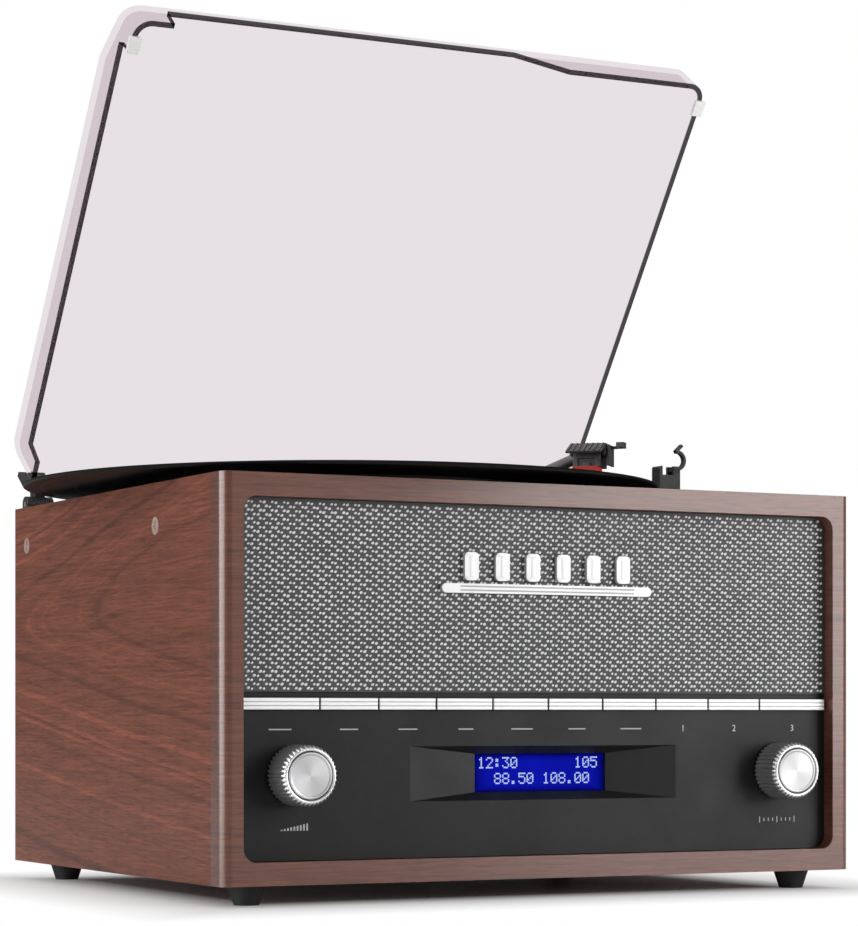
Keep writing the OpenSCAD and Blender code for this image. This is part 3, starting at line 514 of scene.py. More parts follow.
@dataclass(frozen=True)
class Veneer:
    """Measures of the walnut's figure. Scales are noise cells to the metre: along, across and by seed.

    A face whose normal points up by more than top_normal is a top. The arcs lean by slant, sway from side
    to side, are arc_width wide and roundness blunt, and pass run rings in a metre, less some stray.
    """

    top_normal: float = 0.7
    sway_scale: Point = (5, 14, 1)
    sway: float = 0.02
    slant: float = -0.03
    arc_width: float = 0.016
    roundness: float = 1.1
    run: float = -9.5
    stray: float = 0.7
    ring_scale: float = 1.4
    line_width: float = 0.07
    line_depth: float = 0.6
    fibre_scale: Point = (34, 760, 1)
    streak_scale: Point = (9, 170, 1)
    streak: float = 0.15
    pore_scale: Point = (105, 1800, 1)
    pore_depth: float = 0.24
    dark: Colour = srgb(104, 62, 47)
    mid: Colour = srgb(128, 75, 58)
    light: Colour = srgb(150, 86, 67)
    line_colour: Colour = srgb(80, 47, 36)
    pore_colour: Colour = srgb(74, 38, 31)

    def fill(self, g: Graph, i: Sockets) -> list[Socket]:
        """Veneer whose figure is a stack of bent arcs: the root of across squared, plus along.

        Fine fibres are noise drawn out along the grain, and pores are its darkest short dashes.

        Args:
            g: graph of the group.
            i: the group's inputs by name.

        Returns:
            Colour, height and roughness.
        """
        flat = g.math("GREATER_THAN", g.math("ABSOLUTE", g.dot(i["Normal"], UP)), self.top_normal)
        along, side = g.dot(i["Vector"], i["Along"]), g.dot(i["Vector"], UP)
        top = g.dot(i["Vector"], i["Across on top"])
        across = g.add(side, g.mul(flat, g.sub(top, side)))
        plane = g.put("ShaderNodeCombineXYZ", X=along, Y=across, Z=i["Seed"]).outputs[0]
        wobble = g.sub(g.noise(g.stretch(plane, self.sway_scale), 1, 2, 0.45), 0.5)
        off = g.add(g.sub(across, i["Heart"]), g.mul(along, self.slant))
        off = g.div(g.add(off, g.mul(wobble, self.sway)), self.arc_width)
        bow = g.math("SQRT", g.add(g.mul(off, off), self.roundness))
        figure = g.add(g.add(bow, g.mul(along, self.run)), g.mul(wobble, self.stray))
        rings = g.strand(figure, self.ring_scale, 2.5, 0.6)
        tone = g.add(g.mul(g.sub(g.span(rings, 0.28, 0.72), 0.5), i["Contrast"]), 0.5)
        line = g.math("PINGPONG", g.add(figure, g.mul(rings, 0.8)), 0.5)
        line = g.mul(g.span(line, 0.0, self.line_width, 1, 0), g.span(rings, 0.42, 0.60))
        fibre = g.noise(g.stretch(plane, self.fibre_scale), 1, 4, 0.75)
        streak = g.noise(g.stretch(plane, self.streak_scale), 1, 3, 0.6)
        pores = g.span(g.noise(g.stretch(plane, self.pore_scale), 1, 1, 0.4), 0.55, 0.66)
        stops = [(0.0, self.dark), (0.36, self.mid), (0.62, self.mid), (0.80, self.light), (1.0, self.mid)]
        share = g.mul(line, g.mul(i["Contrast"], self.line_depth))
        colour = g.blend(share, g.ramp(tone, stops), self.line_colour)
        streak = g.span(streak, 0.3, 0.7, -self.streak, self.streak)
        # Fine fibres and streaks of the grain, times the painted shade of the Shade input.
        shade = g.mul(g.add(g.span(fibre, 0.33, 0.67, 0.62, 1.32), streak), i["Shade"])
        grey = g.put("ShaderNodeCombineColor", i0=shade, i1=shade, i2=shade).outputs[0]
        colour = g.blend(1.0, colour, grey, "MULTIPLY")
        colour = g.blend(g.mul(pores, self.pore_depth), colour, self.pore_colour)
        height = g.sub(g.mul(fibre, 0.6), g.mul(pores, 0.8))
        rough = g.add(g.span(fibre, 0.3, 0.7, 0.36, 0.48), g.mul(pores, 0.15))
        return [colour, height, rough]


def fill_handling(g: Graph, i: Sockets) -> list[Socket]:
    """Uneven gloss of a surface that was handled: broad soft noise plus sparse fine specks of dust.

    Args:
        g: graph of the group.
        i: the group's inputs by name.

    Returns:
        Roughness, fine height and dust.
    """
    broad = g.noise(i["Vector"], 38, 3, 0.6)
    fine = g.noise(i["Vector"], 900, 2, 0.5)
    specks = g.span(g.noise(i["Vector"], 1700, 0, 0.5), 0.74, 0.80)
    rough = g.add(i["Roughness"], g.mul(i["Spread"], g.span(broad, 0.3, 0.7, -1, 1)))
    rough = g.add(rough, g.mul(specks, 0.12), clamp=True)
    return [rough, fine, g.mul(specks, i["Dust"])]


def fill_moulded(g: Graph, i: Sockets) -> list[Socket]:
    """Fine spark-eroded grain of moulded plastic: close rounded cells with softer noise over them.

    Args:
        g: graph of the group.
        i: the group's inputs by name.

    Returns:
        Height, and the softer noise alone.
    """
    cells = g.put("ShaderNodeTexVoronoi", feature="SMOOTH_F1", Vector=i["Vector"], Scale=i["Cells"])
    soft = g.noise(i["Vector"], 260, 3, 0.6)
    return [g.add(g.mul(cells.outputs[0], 0.7), g.mul(soft, 0.5)), soft]


def fill_turned(g: Graph, i: Sockets) -> list[Socket]:
    """Turned metal: rings of equal pitch round an axis, and a painted sheen that changes with the angle.

    Args:
        g: graph of the group.
        i: the group's inputs by name.

    Returns:
        Height, painted sheen and radius.
    """
    painted_highlight_angle, fan_share, jitter_scale, fan_scale = 0.62, 0.75, 1e4, 4.5
    own = g.off(i["Vector"], i["Centre"])
    u, v = g.dot(own, i["Across"]), g.dot(own, i["Upright"])
    radius = g.math("SQRT", g.add(g.mul(u, u), g.mul(v, v)))
    rings = g.math("SINE", g.mul(radius, i["Rings"]))
    jitter = g.strand(g.mul(radius, jitter_scale))
    angle = g.math("ARCTAN2", v, u)
    # Painted highlight: a fan of sheen brightest at one angle, with fine streaks.
    fan = g.math("COSINE", g.mul(g.sub(angle, painted_highlight_angle), 2))
    fine = g.span(g.strand(g.mul(angle, fan_scale)), 0.3, 0.7, -0.3, 0.3)
    sheen = g.add(g.mul(fan, fan_share), fine)
    return [g.add(rings, jitter), g.span(sheen, -1, 1), radius]


def fill_weave(g: Graph, i: Sockets) -> list[Socket]:
    """Plain weave: the product of two sine waves, one across and one up, with slubs of noise.

    Args:
        g: graph of the group.
        i: the group's inputs by name.

    Returns:
        Height, and the slubs alone.
    """
    warp = g.math("SINE", g.mul(g.dot(i["Vector"], RIGHT), i["Warp"]))
    weft = g.math("SINE", g.mul(g.dot(i["Vector"], UP), i["Weft"]))
    over = g.span(g.mul(warp, weft), -0.4, 0.4)
    slub = g.noise(g.stretch(i["Vector"], (300, 300, 1400)), 1, 3, 0.6)
    return [g.add(over, g.mul(slub, 0.6)), slub]


def fill_rim(g: Graph, i: Sockets) -> list[Socket]:
    """Mask of the rim's painted shade: 1 near the lid's lower edge, which each notch lifts by a trapezoid:
    the lesser of two slopes.

    Args:
        g: graph of the group.
        i: the group's inputs by name.

    Returns:
        The mask.
    """
    wall, notch_h = 2.7, 14.0
    c, s = math.cos(LID_OPEN), math.sin(LID_OPEN)
    own = g.off(i["Vector"], tuple(at(0, *HINGE)))
    x = g.dot(own, (1 / MM, 0, 0))
    y = g.add(g.dot(own, (0, c / MM, -s / MM)), HINGE[0])
    up = g.add(g.dot(own, (0, s / MM, c / MM)), HINGE[1] - LID_Z)
    at_left = g.math("LESS_THAN", x, -LID_HALF_W + wall)
    at_front = g.math("LESS_THAN", y, LID_Y[0] + wall)
    at_back = g.math("GREATER_THAN", y, LID_Y[1] - wall)
    edge = 0.0
    for run, middle, half, low, high, inside in (
            (y, SPINDLE[1], 107.7, 1.0, 2.0, at_left),
            (x, SPINDLE[0], 91.45, 1.0, 25.0, at_front),
            (x, SPINDLE[0], 88.6, 4.0, 4.0, at_back)):
        rise = g.div(g.add(run, half + low - middle), low)
        fall = g.div(g.sub(half + high + middle, run), high)
        notch = g.mul(g.math("MINIMUM", g.math("MINIMUM", rise, fall), 1.0), notch_h)
        edge = g.math("MAXIMUM", edge, g.mul(notch, inside))
    return [g.span(g.sub(up, edge), 0.2, 0.9, 1, 0)]


# --------------------------------------------------------------------------- shared effects and finishes

ZERO, RIGHT = (0.0, 0.0, 0.0), (1.0, 0.0, 0.0)
BACKWARD, UP = (0.0, 1.0, 0.0), (0.0, 0.0, 1.0)
# Walnut grain; its Shade input is a painted shade.
GRAIN = Effect("Walnut", {"Vector": ZERO, "Normal": UP, "Along": RIGHT, "Across on top": BACKWARD,
                          "Heart": 0.1, "Seed": 0.0, "Contrast": 1.0, "Shade": 1.0},
               ("Colour", "Height", "Roughness"), Veneer().fill)
HANDLING = Effect("Handling", {"Vector": ZERO, "Roughness": 0.5, "Spread": 0.05, "Dust": 0.0},
                  ("Roughness", "Fine", "Dust"), fill_handling)
MOULD = Effect("Moulded grain", {"Vector": ZERO, "Cells": 2600.0}, ("Height", "Soft"), fill_moulded)
# Turned rings; its Sheen output is a painted sheen.
LATHE = Effect("Turned", {"Vector": ZERO, "Centre": ZERO, "Across": RIGHT, "Upright": UP, "Rings": 26000.0},
               ("Height", "Sheen", "Radius"), fill_turned)
WEAVE = Effect("Weave", {"Vector": ZERO, "Warp": 6000.0, "Weft": 7000.0}, ("Height", "Slub"), fill_weave)
RIM = Effect("Cut rim", {"Vector": ZERO}, ("Mask",), fill_rim)


def toned(colour: Colour, times: float, plus: float = 0.0) -> Colour:
    """A colour made lighter or darker, up to white."""
    return tuple(min(1.0, c * times + plus) for c in colour)


@dataclass(frozen=True)
class Finish:
    """A surface finish: its material is made once, and shared by the pieces that wear it."""

    name: str
    colour: Colour
    roughness: float = 0.5
    metallic: float = 0.0
    spread: float = 0.05
    dust: float = 0.0
    bump: float = 0.12
    bump_mm: float = 0.02
    specular: float = 0.5

    def material(self) -> bpy.types.Material:
        """The Blender material of this finish, with what is the same all over on the shader's own sockets.

        Returns:
            The material.
        """
        found = bpy.data.materials.get(self.name)
        if found:
            return found
        made = bpy.data.materials.new(self.name)
        made.use_nodes = True
        shader = made.node_tree.nodes["Principled BSDF"]
        shader.inputs["Base Color"].default_value = (*self.colour, 1)
        shader.inputs["Roughness"].default_value = self.roughness
        shader.inputs["Metallic"].default_value = self.metallic
        shader.inputs["Specular IOR Level"].default_value = self.specular
        self.paint(Graph(made.node_tree), shader)
        return made

    def handling(self, g: Graph, shader: Node) -> Node:
        """Adds the handling marks to the roughness, and returns the group's node for its dust and height.

        Args:
            g: graph of the material.
            shader: the material's Principled shader.

        Returns:
            The group's node.
        """
        node = HANDLING.on(g, Roughness=self.roughness, Spread=self.spread, Dust=self.dust)
        g.give(shader.inputs["Roughness"], node.outputs["Roughness"])
        return node

    def raise_normal(self, g: Graph, shader: Node, height: Socket) -> None:
        """Feeds a height through a Bump node into the normal."""
        node = g.put("ShaderNodeBump", Strength=self.bump, Distance=self.bump_mm * MM, Height=height)
        g.give(shader.inputs["Normal"], node.outputs[0])

    def paint(self, g: Graph, shader: Node) -> None:
        """Fine noise in gloss, colour and height.

        Args:
            g: graph of the material.
            shader: the material's Principled shader.
        """
        marks = self.handling(g, shader)
        dusty = g.blend(marks.outputs["Dust"], self.colour, toned(self.colour, 1.25, 0.01))
        g.give(shader.inputs["Base Color"], dusty)
        self.raise_normal(g, shader, marks.outputs["Fine"])


@dataclass(frozen=True)
class Walnut(Finish):
    """Walnut veneer with its own grain, weight of lacquer, contrast of the figure, and a painted shade that
    darkens its colour where less light falls.
    """

    colour: Colour = srgb(120, 78, 68)
    roughness: float = 0.42
    bump: float = 0.35
    bump_mm: float = 0.05
    along: Direction = (1.0, -1.0, 0.0)
    across_top: Direction = (0.0, 1.0, 0.0)
    heart: float = 0.134
    seed: float = 0.0
    coat: float = 0.25
    coat_roughness: float = 0.17
    contrast: float = 1.0
    # Painted shade: under 1, it darkens the colour where less light falls on the face.
    shade: float = 1.0

    def paint(self, g: Graph, shader: Node) -> None:
        """Grain colour, pores in the height and a satin lacquer over them.

        Args:
            g: graph of the material.
            shader: the material's Principled shader.
        """
        normal = g.put("ShaderNodeTexCoord").outputs["Normal"]
        node = GRAIN.on(g, Normal=normal, Along=self.along, Across_on_top=self.across_top, Heart=self.heart,
                        Seed=self.seed, Contrast=self.contrast, Shade=self.shade)
        g.give(shader.inputs["Base Color"], node.outputs["Colour"])
        g.give(shader.inputs["Roughness"], node.outputs["Roughness"])
        shader.inputs["Specular IOR Level"].default_value = self.coat / 2
        shader.inputs["Coat Weight"].default_value = self.coat
        shader.inputs["Coat Roughness"].default_value = self.coat_roughness
        self.raise_normal(g, shader, node.outputs["Height"])


@dataclass(frozen=True)
class Moulded(Finish):
    """Moulded plastic with a fine grain."""

    cells: float = 2600.0

    def paint(self, g: Graph, shader: Node) -> None:
        """Grain in the height, with handling marks in the gloss.

        Args:
            g: graph of the material.
            shader: the material's Principled shader.
        """
        marks = self.handling(g, shader)
        node = MOULD.on(g, Cells=self.cells)
        share = g.add(g.span(node.outputs["Soft"], 0.3, 0.7, 0, 0.6), marks.outputs["Dust"], clamp=True)
        g.give(shader.inputs["Base Color"], g.blend(share, self.colour, toned(self.colour, 1.18, 0.004)))
        self.raise_normal(g, shader, node.outputs["Height"])


@dataclass(frozen=True)
class Turned(Finish):
    """Metal turned on a lathe round an axis that runs back, with a painted sheen in its colour."""

    centre: Point = ZERO
    # How far the painted sheen darkens the colour away from its brightest angle.
    fan: float = 0.4
    anisotropic: float = 0.7

    def paint(self, g: Graph, shader: Node) -> None:
        """Rings in the height, and the painted fan of sheen in the colour.

        Args:
            g: graph of the material.
            shader: the material's Principled shader.
        """
        node = LATHE.on(g, Centre=self.centre)
        dark = toned(self.colour, 1 - self.fan)
        g.give(shader.inputs["Base Color"], g.blend(node.outputs["Sheen"], dark, self.colour))
        self.handling(g, shader)
        shader.inputs["Anisotropic"].default_value = self.anisotropic
        self.raise_normal(g, shader, node.outputs["Height"])


@dataclass(frozen=True)
class Silver(Finish):
    """Bright silver plating, with painted shade that darkens it in its grooves and down its sides."""

    metallic: float = 0.12
    spread: float = 0.03
    bump: float = 0.03
    bump_mm: float = 0.004
    # Painted shade: from the front plane at face, over depth in millimetres, the colour falls to shade times
    # itself.
    face: float = 0.0
    depth: tuple[float, float] = (0.1, 0.3)
    shade: float = 0.3

    def paint(self, g: Graph, shader: Node) -> None:
        """Painted shade: the colour darkens with the depth behind the front plane, in millimetres.

        Args:
            g: graph of the material.
            shader: the material's Principled shader.
        """
        marks = self.handling(g, shader)
        depth = g.sub(g.dot(g.place(), (0, 1 / MM, 0)), self.face + float(SHIFT_MM[1]))
        painted_shade = g.span(depth, *self.depth)
        g.give(shader.inputs["Base Color"], g.blend(painted_shade, self.colour, toned(self.colour, self.shade)))
        self.raise_normal(g, shader, marks.outputs["Fine"])


@dataclass(frozen=True)
class Cloth(Finish):
    """Woven cloth."""

    sheen: float = 0.15

    def paint(self, g: Graph, shader: Node) -> None:
        """Weave in colour and height.

        Args:
            g: graph of the material.
            shader: the material's Principled shader.
        """
        height = WEAVE.on(g).outputs["Height"]
        share = g.span(height, 0.1, 1.3)
        g.give(shader.inputs["Base Color"], g.blend(share, toned(self.colour, 0.35), self.colour))
        self.handling(g, shader)
        shader.inputs["Sheen Weight"].default_value = self.sheen
        self.raise_normal(g, shader, height)


@dataclass(frozen=True)
class Lit(Finish):
    """A lit surface of a display, darker towards the edges of its panel."""

    glow: float = 1.0
    centre: Point = ZERO
    half: tuple[float, float] = (0.03, 0.008)
    fade: float = 0.0

    def paint(self, g: Graph, shader: Node) -> None:
        """Backlight: the glow falls off with a power of the distance to the rim and is slightly uneven.

        Args:
            g: graph of the material.
            shader: the material's Principled shader.
        """
        place = g.place()
        own = g.off(place, self.centre)
        x = g.div(g.math("ABSOLUTE", g.dot(own, RIGHT)), self.half[0])
        z = g.div(g.math("ABSOLUTE", g.dot(own, UP)), self.half[1])
        edge = g.span(g.math("MAXIMUM", g.math("POWER", x, 6.0), g.math("POWER", z, 3.0)), 0.2, 1.1)
        cloud = g.span(g.noise(place, 90, 2), 0.3, 0.7, 0.0, 0.16)
        dim = g.mul(g.add(edge, cloud, clamp=True), self.fade)
        colour = g.blend(dim, self.colour, toned(self.colour, 0.12))
        shader.inputs["Specular IOR Level"].default_value = 0.0
        g.give(shader.inputs["Base Color"], g.blend(0.85, colour, ZERO))
        g.give(shader.inputs["Emission Color"], colour)
        shader.inputs["Emission Strength"].default_value = self.glow


@dataclass(frozen=True)
class Clear(Finish):
    """Clear plastic with a faint tint and faint handling marks in the gloss."""

    ior: float = 1.49

    def tint(self, g: Graph) -> object:
        """Colour of the plastic, the same all over."""
        return self.colour

    def paint(self, g: Graph, shader: Node) -> None:
        """Tint, with faint handling marks in the gloss.

        Args:
            g: graph of the material.
            shader: the material's Principled shader.
        """
        g.give(shader.inputs["Base Color"], self.tint(g))
        broad = g.noise(g.place(), 30, 3, 0.6)
        rough = g.span(broad, 0.45, 0.8, self.roughness, self.roughness + self.spread)
        g.give(shader.inputs["Roughness"], rough)
        shader.inputs["Transmission Weight"].default_value = 1.0
        shader.inputs["IOR"].default_value = self.ior


@dataclass(frozen=True)
class Rimmed(Clear):
    """Clear lid whose cut rim and notch edges are painted nearly black, as painted shade for the light that
    is lost along the sheet.
    """

    # Painted shade of the cut rim.
    rim: Colour = (0.006, 0.005, 0.006)

    def tint(self, g: Graph) -> object:
        """The tint, or painted near-black shade within a millimetre of the lid's lower edge and its notches.
        """
        return g.blend(RIM.on(g).outputs["Mask"], self.colour, self.rim)


@dataclass(frozen=True)
class Vinyl(Finish):
    """A pressed record: bands of fine grooves round the spindle, with blank rings between them."""

    centre: Point = ZERO
    band: float = 0.0158

    def paint(self, g: Graph, shader: Node) -> None:
        """Grooves in the height, fading at the gaps between bands.

        Args:
            g: graph of the material.
            shader: the material's Principled shader.
        """
        node = LATHE.on(g, Centre=self.centre, Across=RIGHT, Upright=BACKWARD, Rings=15000.0)
        turns = g.math("FRACT", g.div(node.outputs["Radius"], self.band))
        bands = g.span(g.math("ABSOLUTE", g.sub(turns, 0.5)), 0.46, 0.485, 1, 0)
        g.give(shader.inputs["Roughness"], g.add(g.mul(bands, 0.10), self.roughness))
        g.give(shader.inputs["Base Color"], g.blend(bands, srgb(8, 8, 9), self.colour))
        shader.inputs["Anisotropic"].default_value = 0.6
        self.raise_normal(g, shader, g.mul(node.outputs["Height"], bands))


@dataclass(frozen=True)
class Board(Finish):
    """Printed circuit board: green lacquer over tracks that show as lighter squares and lines."""

    cells: float = 240.0

    def paint(self, g: Graph, shader: Node) -> None:
        """Tracks are the edges of square cells.

        Args:
            g: graph of the material.
            shader: the material's Principled shader.
        """
        cells = g.put("ShaderNodeTexVoronoi", distance="CHEBYCHEV", Vector=g.place(), Scale=self.cells)
        track = g.span(cells.outputs[0], 0.30, 0.34)
        g.give(shader.inputs["Base Color"], g.blend(track, toned(self.colour, 1.6), self.colour))
        self.handling(g, shader)
        self.raise_normal(g, shader, track)


# --------------------------------------------------------------------------- this object's sizes and finishes

CAB_W, CAB_D, CAB_H, FOOT_H = 320.0, 262.0, 175.0, 9.0
TOP = FOOT_H + CAB_H
FACE_Y = 7.0
KEY_FRONT = FACE_Y - 1.8
BADGE_FRONT = FACE_Y - 2.4
DIAL_Z = FOOT_H + 46.7
KNOB_X = 123.4
SPINDLE = (-42.0, 131.0)
PIVOT_RUN, PIVOT_TURN = 178.9, math.radians(30.6)
LID_OPEN = math.radians(54.4)
HINGE = (CAB_D + 4.0, TOP + 3.0)
LID_Z = TOP + 2.3
LID_HALF_W = 153.5
LID_Y = (CAB_D - 256.0, CAB_D - 4.0)

BLACK = Moulded("black plastic", srgb(38, 38, 39), 0.42, bump=0.10, bump_mm=0.015)
PANEL = Moulded("panel plastic", srgb(21, 21, 22), 0.44, bump=0.10, bump_mm=0.015, dust=0.1, specular=0.24)
DARK = Moulded("dark grey plastic", srgb(52, 50, 48), 0.45, bump=0.12, bump_mm=0.015)
RUBBER = Moulded("black rubber", srgb(26, 26, 27), 0.68, bump=0.25, bump_mm=0.03, cells=1500)
FIBREBOARD = Moulded("painted board", srgb(30, 29, 29), 0.7, bump=0.4, bump_mm=0.05, cells=900)
STEEL = Finish("plated steel", (0.60, 0.60, 0.61), 0.30, 1.0, spread=0.06)
BRASS = Finish("turned brass", (0.72, 0.55, 0.25), 0.28, 1.0)
SCREWS = Finish("coppered screws", (0.52, 0.38, 0.34), 0.42, 0.5, spread=0.08)
WHITE = Finish("soft white plastic", srgb(240, 240, 238), 0.5, spread=0.05)
# Key plates and badge: painted shade in the grooves between the reeds and in the badge's slots.
PLATED = Silver("silver plate", srgb(252, 252, 253), 0.42, face=KEY_FRONT - 0.35, depth=(0.04, 0.24),
                shade=0.09)
BADGE = Silver("badge silver", srgb(240, 240, 241), 0.40, face=BADGE_FRONT, depth=(0.15, 0.40), shade=0.5)
PRINT = Finish("grey print", srgb(178, 178, 180), 0.6)
WHITE_PRINT = Finish("white print", srgb(205, 205, 205), 0.6)
RED = Finish("red plastic", srgb(205, 32, 22), 0.3, spread=0.05)
LABEL = Finish("paper label", srgb(196, 30, 34), 0.55, bump=0.2, bump_mm=0.02)
GOLD = Finish("gilt contact", (0.80, 0.60, 0.28), 0.25, 1.0)


# --------------------------------------------------------------------------- sub-assemblies


@dataclass
class Cabinet:
    """Boards, feet, screws, back and the parts inside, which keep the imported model's shapes."""

    nodes: dict[str, Piece]

    def finishes(self) -> dict[str, tuple[Finish, float]]:
        """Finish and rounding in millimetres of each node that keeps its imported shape.

        Returns:
            Finish and width of rounding by node.
        """
        # The front is a darker copy of the walnut: painted shade where less light falls on it than on the
        # sides.
        front = Walnut("walnut front", coat=0.75, contrast=0.4, shade=0.7)
        left = Walnut("walnut left", across_top=RIGHT)
        right = Walnut("walnut right", along=BACKWARD, across_top=RIGHT, heart=0.075, seed=2.6)
        bottom = Walnut("walnut bottom", along=RIGHT, heart=0.02, seed=5.1)
        board = Board("circuit board", srgb(24, 84, 44), 0.4, bump=0.3, bump_mm=0.03)
        return {
            "front_frame": (front, 0.35), "side_panel_left": (left, 0.0), "side_panel_right": (right, 0.0),
            "bottom_panel": (bottom, 0.3), "back_panel": (FIBREBOARD, 0.0), "baffle_board": (FIBREBOARD, 0.0),
            "speaker_grille": (BLACK, 0.0), "badge": (BADGE, 0.22), "control_panel": (PANEL, 0.22),
            "control_board": (board, 0.0), "main_board": (board, 0.0), "speaker_left": (BLACK, 0.0),
            "speaker_right": (BLACK, 0.0), "deck_plate": (BLACK, 0.4), "drive_motor": (STEEL, 0.3),
            "motor_pulley": (BRASS, 0.0), "drive_belt": (RUBBER, 0.0), "platter_mat": (RUBBER, 0.0),
            "platter": (DARK, 0.0), "spindle": (STEEL, 0.0), "volume_shaft": (STEEL, 0.0),
            "tune_shaft": (STEEL, 0.0), "encoders": (STEEL, 0.2), "tonearm_base": (BLACK, 0.4),
            "tonearm_yoke": (DARK, 0.3), "tonearm_tube": (DARK, 0.0), "headshell": (DARK, 0.25),
            "cartridge": (BLACK, 0.25), "stylus": (RED, 0.2), "arm_rest": (PANEL, 0.3),
            "rest_clip": (PANEL, 0.2), "cue_lever": (BLACK, 0.25), "cue_lift": (BLACK, 0.25),
            "speed_selector": (DARK, 0.3), "auto_stop_switch": (DARK, 0.3), "hinge_bases": (BLACK, 0.3),
            "hinge_pins": (STEEL, 0.0), "lid_brackets": (BLACK, 0.3), "lid_bumpers": (WHITE, 0.5),
            "feet": (RUBBER, 0.5), "cabinet_screws": (SCREWS, 0.1), "rear_sockets": (GOLD, 0.15),
        }

    def build(self) -> None:
        """Dresses every node that keeps its shape."""
        for name, (finish, width) in self.finishes().items():
            wear(self.nodes[name], finish)
            soften_node(self.nodes[name], width)


@dataclass
class Grille:
    """Cloth on the grille board: a dark sheet with short white floats in staggered rows."""

    half_w: float = 149.8
    low: float = FOOT_H + 82.4
    high: float = FOOT_H + 164.8
    corner: float = 5.8
    pitch: float = 5.6
    row: float = 1.8
    float_w: float = 1.45
    float_h: float = 1.25
    proud: float = 0.42
    pair_gap: float = 0.25
    pair_step: float = 0.10
    stray_x: float = 0.06
    stray_z: float = 0.05
    sizes: tuple[float, float] = (0.8, 1.12)
    leans: tuple[float, float] = (0.2, 0.45)
    face: float = FACE_Y - 0.35
    wave: float = 0.07
    cloth_rows: int = 132
    cloth_columns: int = 420
    seed: int = 7

    def inside(self, x: Array, z: Array, margin: float) -> Array:
        """True where a point lies in the grille's outline, with its round upper corners.

        Args:
            x: x of the points.
            z: height of the points.
            margin: how far inside the outline they have to be.

        Returns:
            The truth for each point.
        """
        cx, cz = self.half_w - self.corner, self.high - self.corner
        dx, dz = np.maximum(np.abs(x) - cx, 0), np.maximum(z - cz, 0)
        return (np.hypot(dx, dz) < self.corner - margin) & (z > self.low + margin)

    def sheet(self) -> Piece:
        """The cloth: a plane whose rows end on the rounded outline, waved by the product of two sines.

        Returns:
            The piece.
        """
        z = np.linspace(self.low, self.high, self.cloth_rows)
        t = np.linspace(-1, 1, self.cloth_columns)
        rise = np.clip(z - (self.high - self.corner), 0, self.corner)
        width = self.half_w - self.corner + np.sqrt(self.corner**2 - rise**2)
        x = t[None, :] * width[:, None]
        zz = np.repeat(z[:, None], len(t), 1)
        wave = np.sin(2 * np.pi * x / self.pitch) * np.sin(np.pi * zz / self.row)
        y = self.face - self.wave * wave
        made = Shell().grid(np.stack([x, y, zz], -1), flip=True).build("grille_cloth", merge=0)
        finish = Cloth("grille cloth", srgb(56, 56, 58), 0.5, bump=0.6, bump_mm=0.12, specular=0.7)
        return dress(made, Body.CABINET, finish)

    def floats(self) -> Piece:
        """White threads: each is half an ellipsoid, and two lie side by side at each crossing.

        Returns:
            The piece.
        """
        rows = np.arange(self.low + 1.3, self.high - 0.8, self.row)
        columns = np.arange(-self.half_w, self.half_w, self.pitch)
        zz, xx = np.meshgrid(rows, columns, indexing="ij")
        xx = xx + (np.arange(len(rows)) % 2)[:, None] * self.pitch / 2
        pair = np.array([-0.5, 0.5]) * (self.float_w + self.pair_gap)
        x = (xx[..., None] + pair).ravel()
        z = (zz[..., None] + np.array([self.pair_step, -self.pair_step])).ravel()
        random = np.random.default_rng(self.seed)
        keep = self.inside(x, z, 1.0)
        x = x[keep] + random.normal(0, self.stray_x, keep.sum())
        z = z[keep] + random.normal(0, self.stray_z, keep.sum())
        size = random.uniform(*self.sizes, (len(x), 1, 1))
        lean = random.uniform(*self.leans, (len(x), 1, 1))
        u = np.linspace(0, np.pi / 2, 3)[:, None]
        v = np.linspace(0, 2 * np.pi, 8, endpoint=False)[None, :]
        across, up = np.sin(u) * np.cos(v), np.sin(u) * np.sin(v)
        px = size * (across * self.float_w / 2 + lean * up * self.float_h / 2)
        pz = size * up * self.float_h / 2
        py = -self.proud * size * np.cos(u) + 0 * v
        local = np.stack(np.broadcast_arrays(px, py, pz), -1)
        centres = np.stack([x, np.full_like(x, self.face - 0.03), z], -1)
        made = Shell().many(local, centres).build("grille_threads", merge=0)
        finish = Finish("white thread", srgb(238, 238, 240), 0.36, spread=0.1, bump=0.3, bump_mm=0.05,
                        specular=0.8)
        return dress(made, Body.CABINET, finish)

    def build(self) -> None:
        sheet, threads = self.sheet(), self.floats()


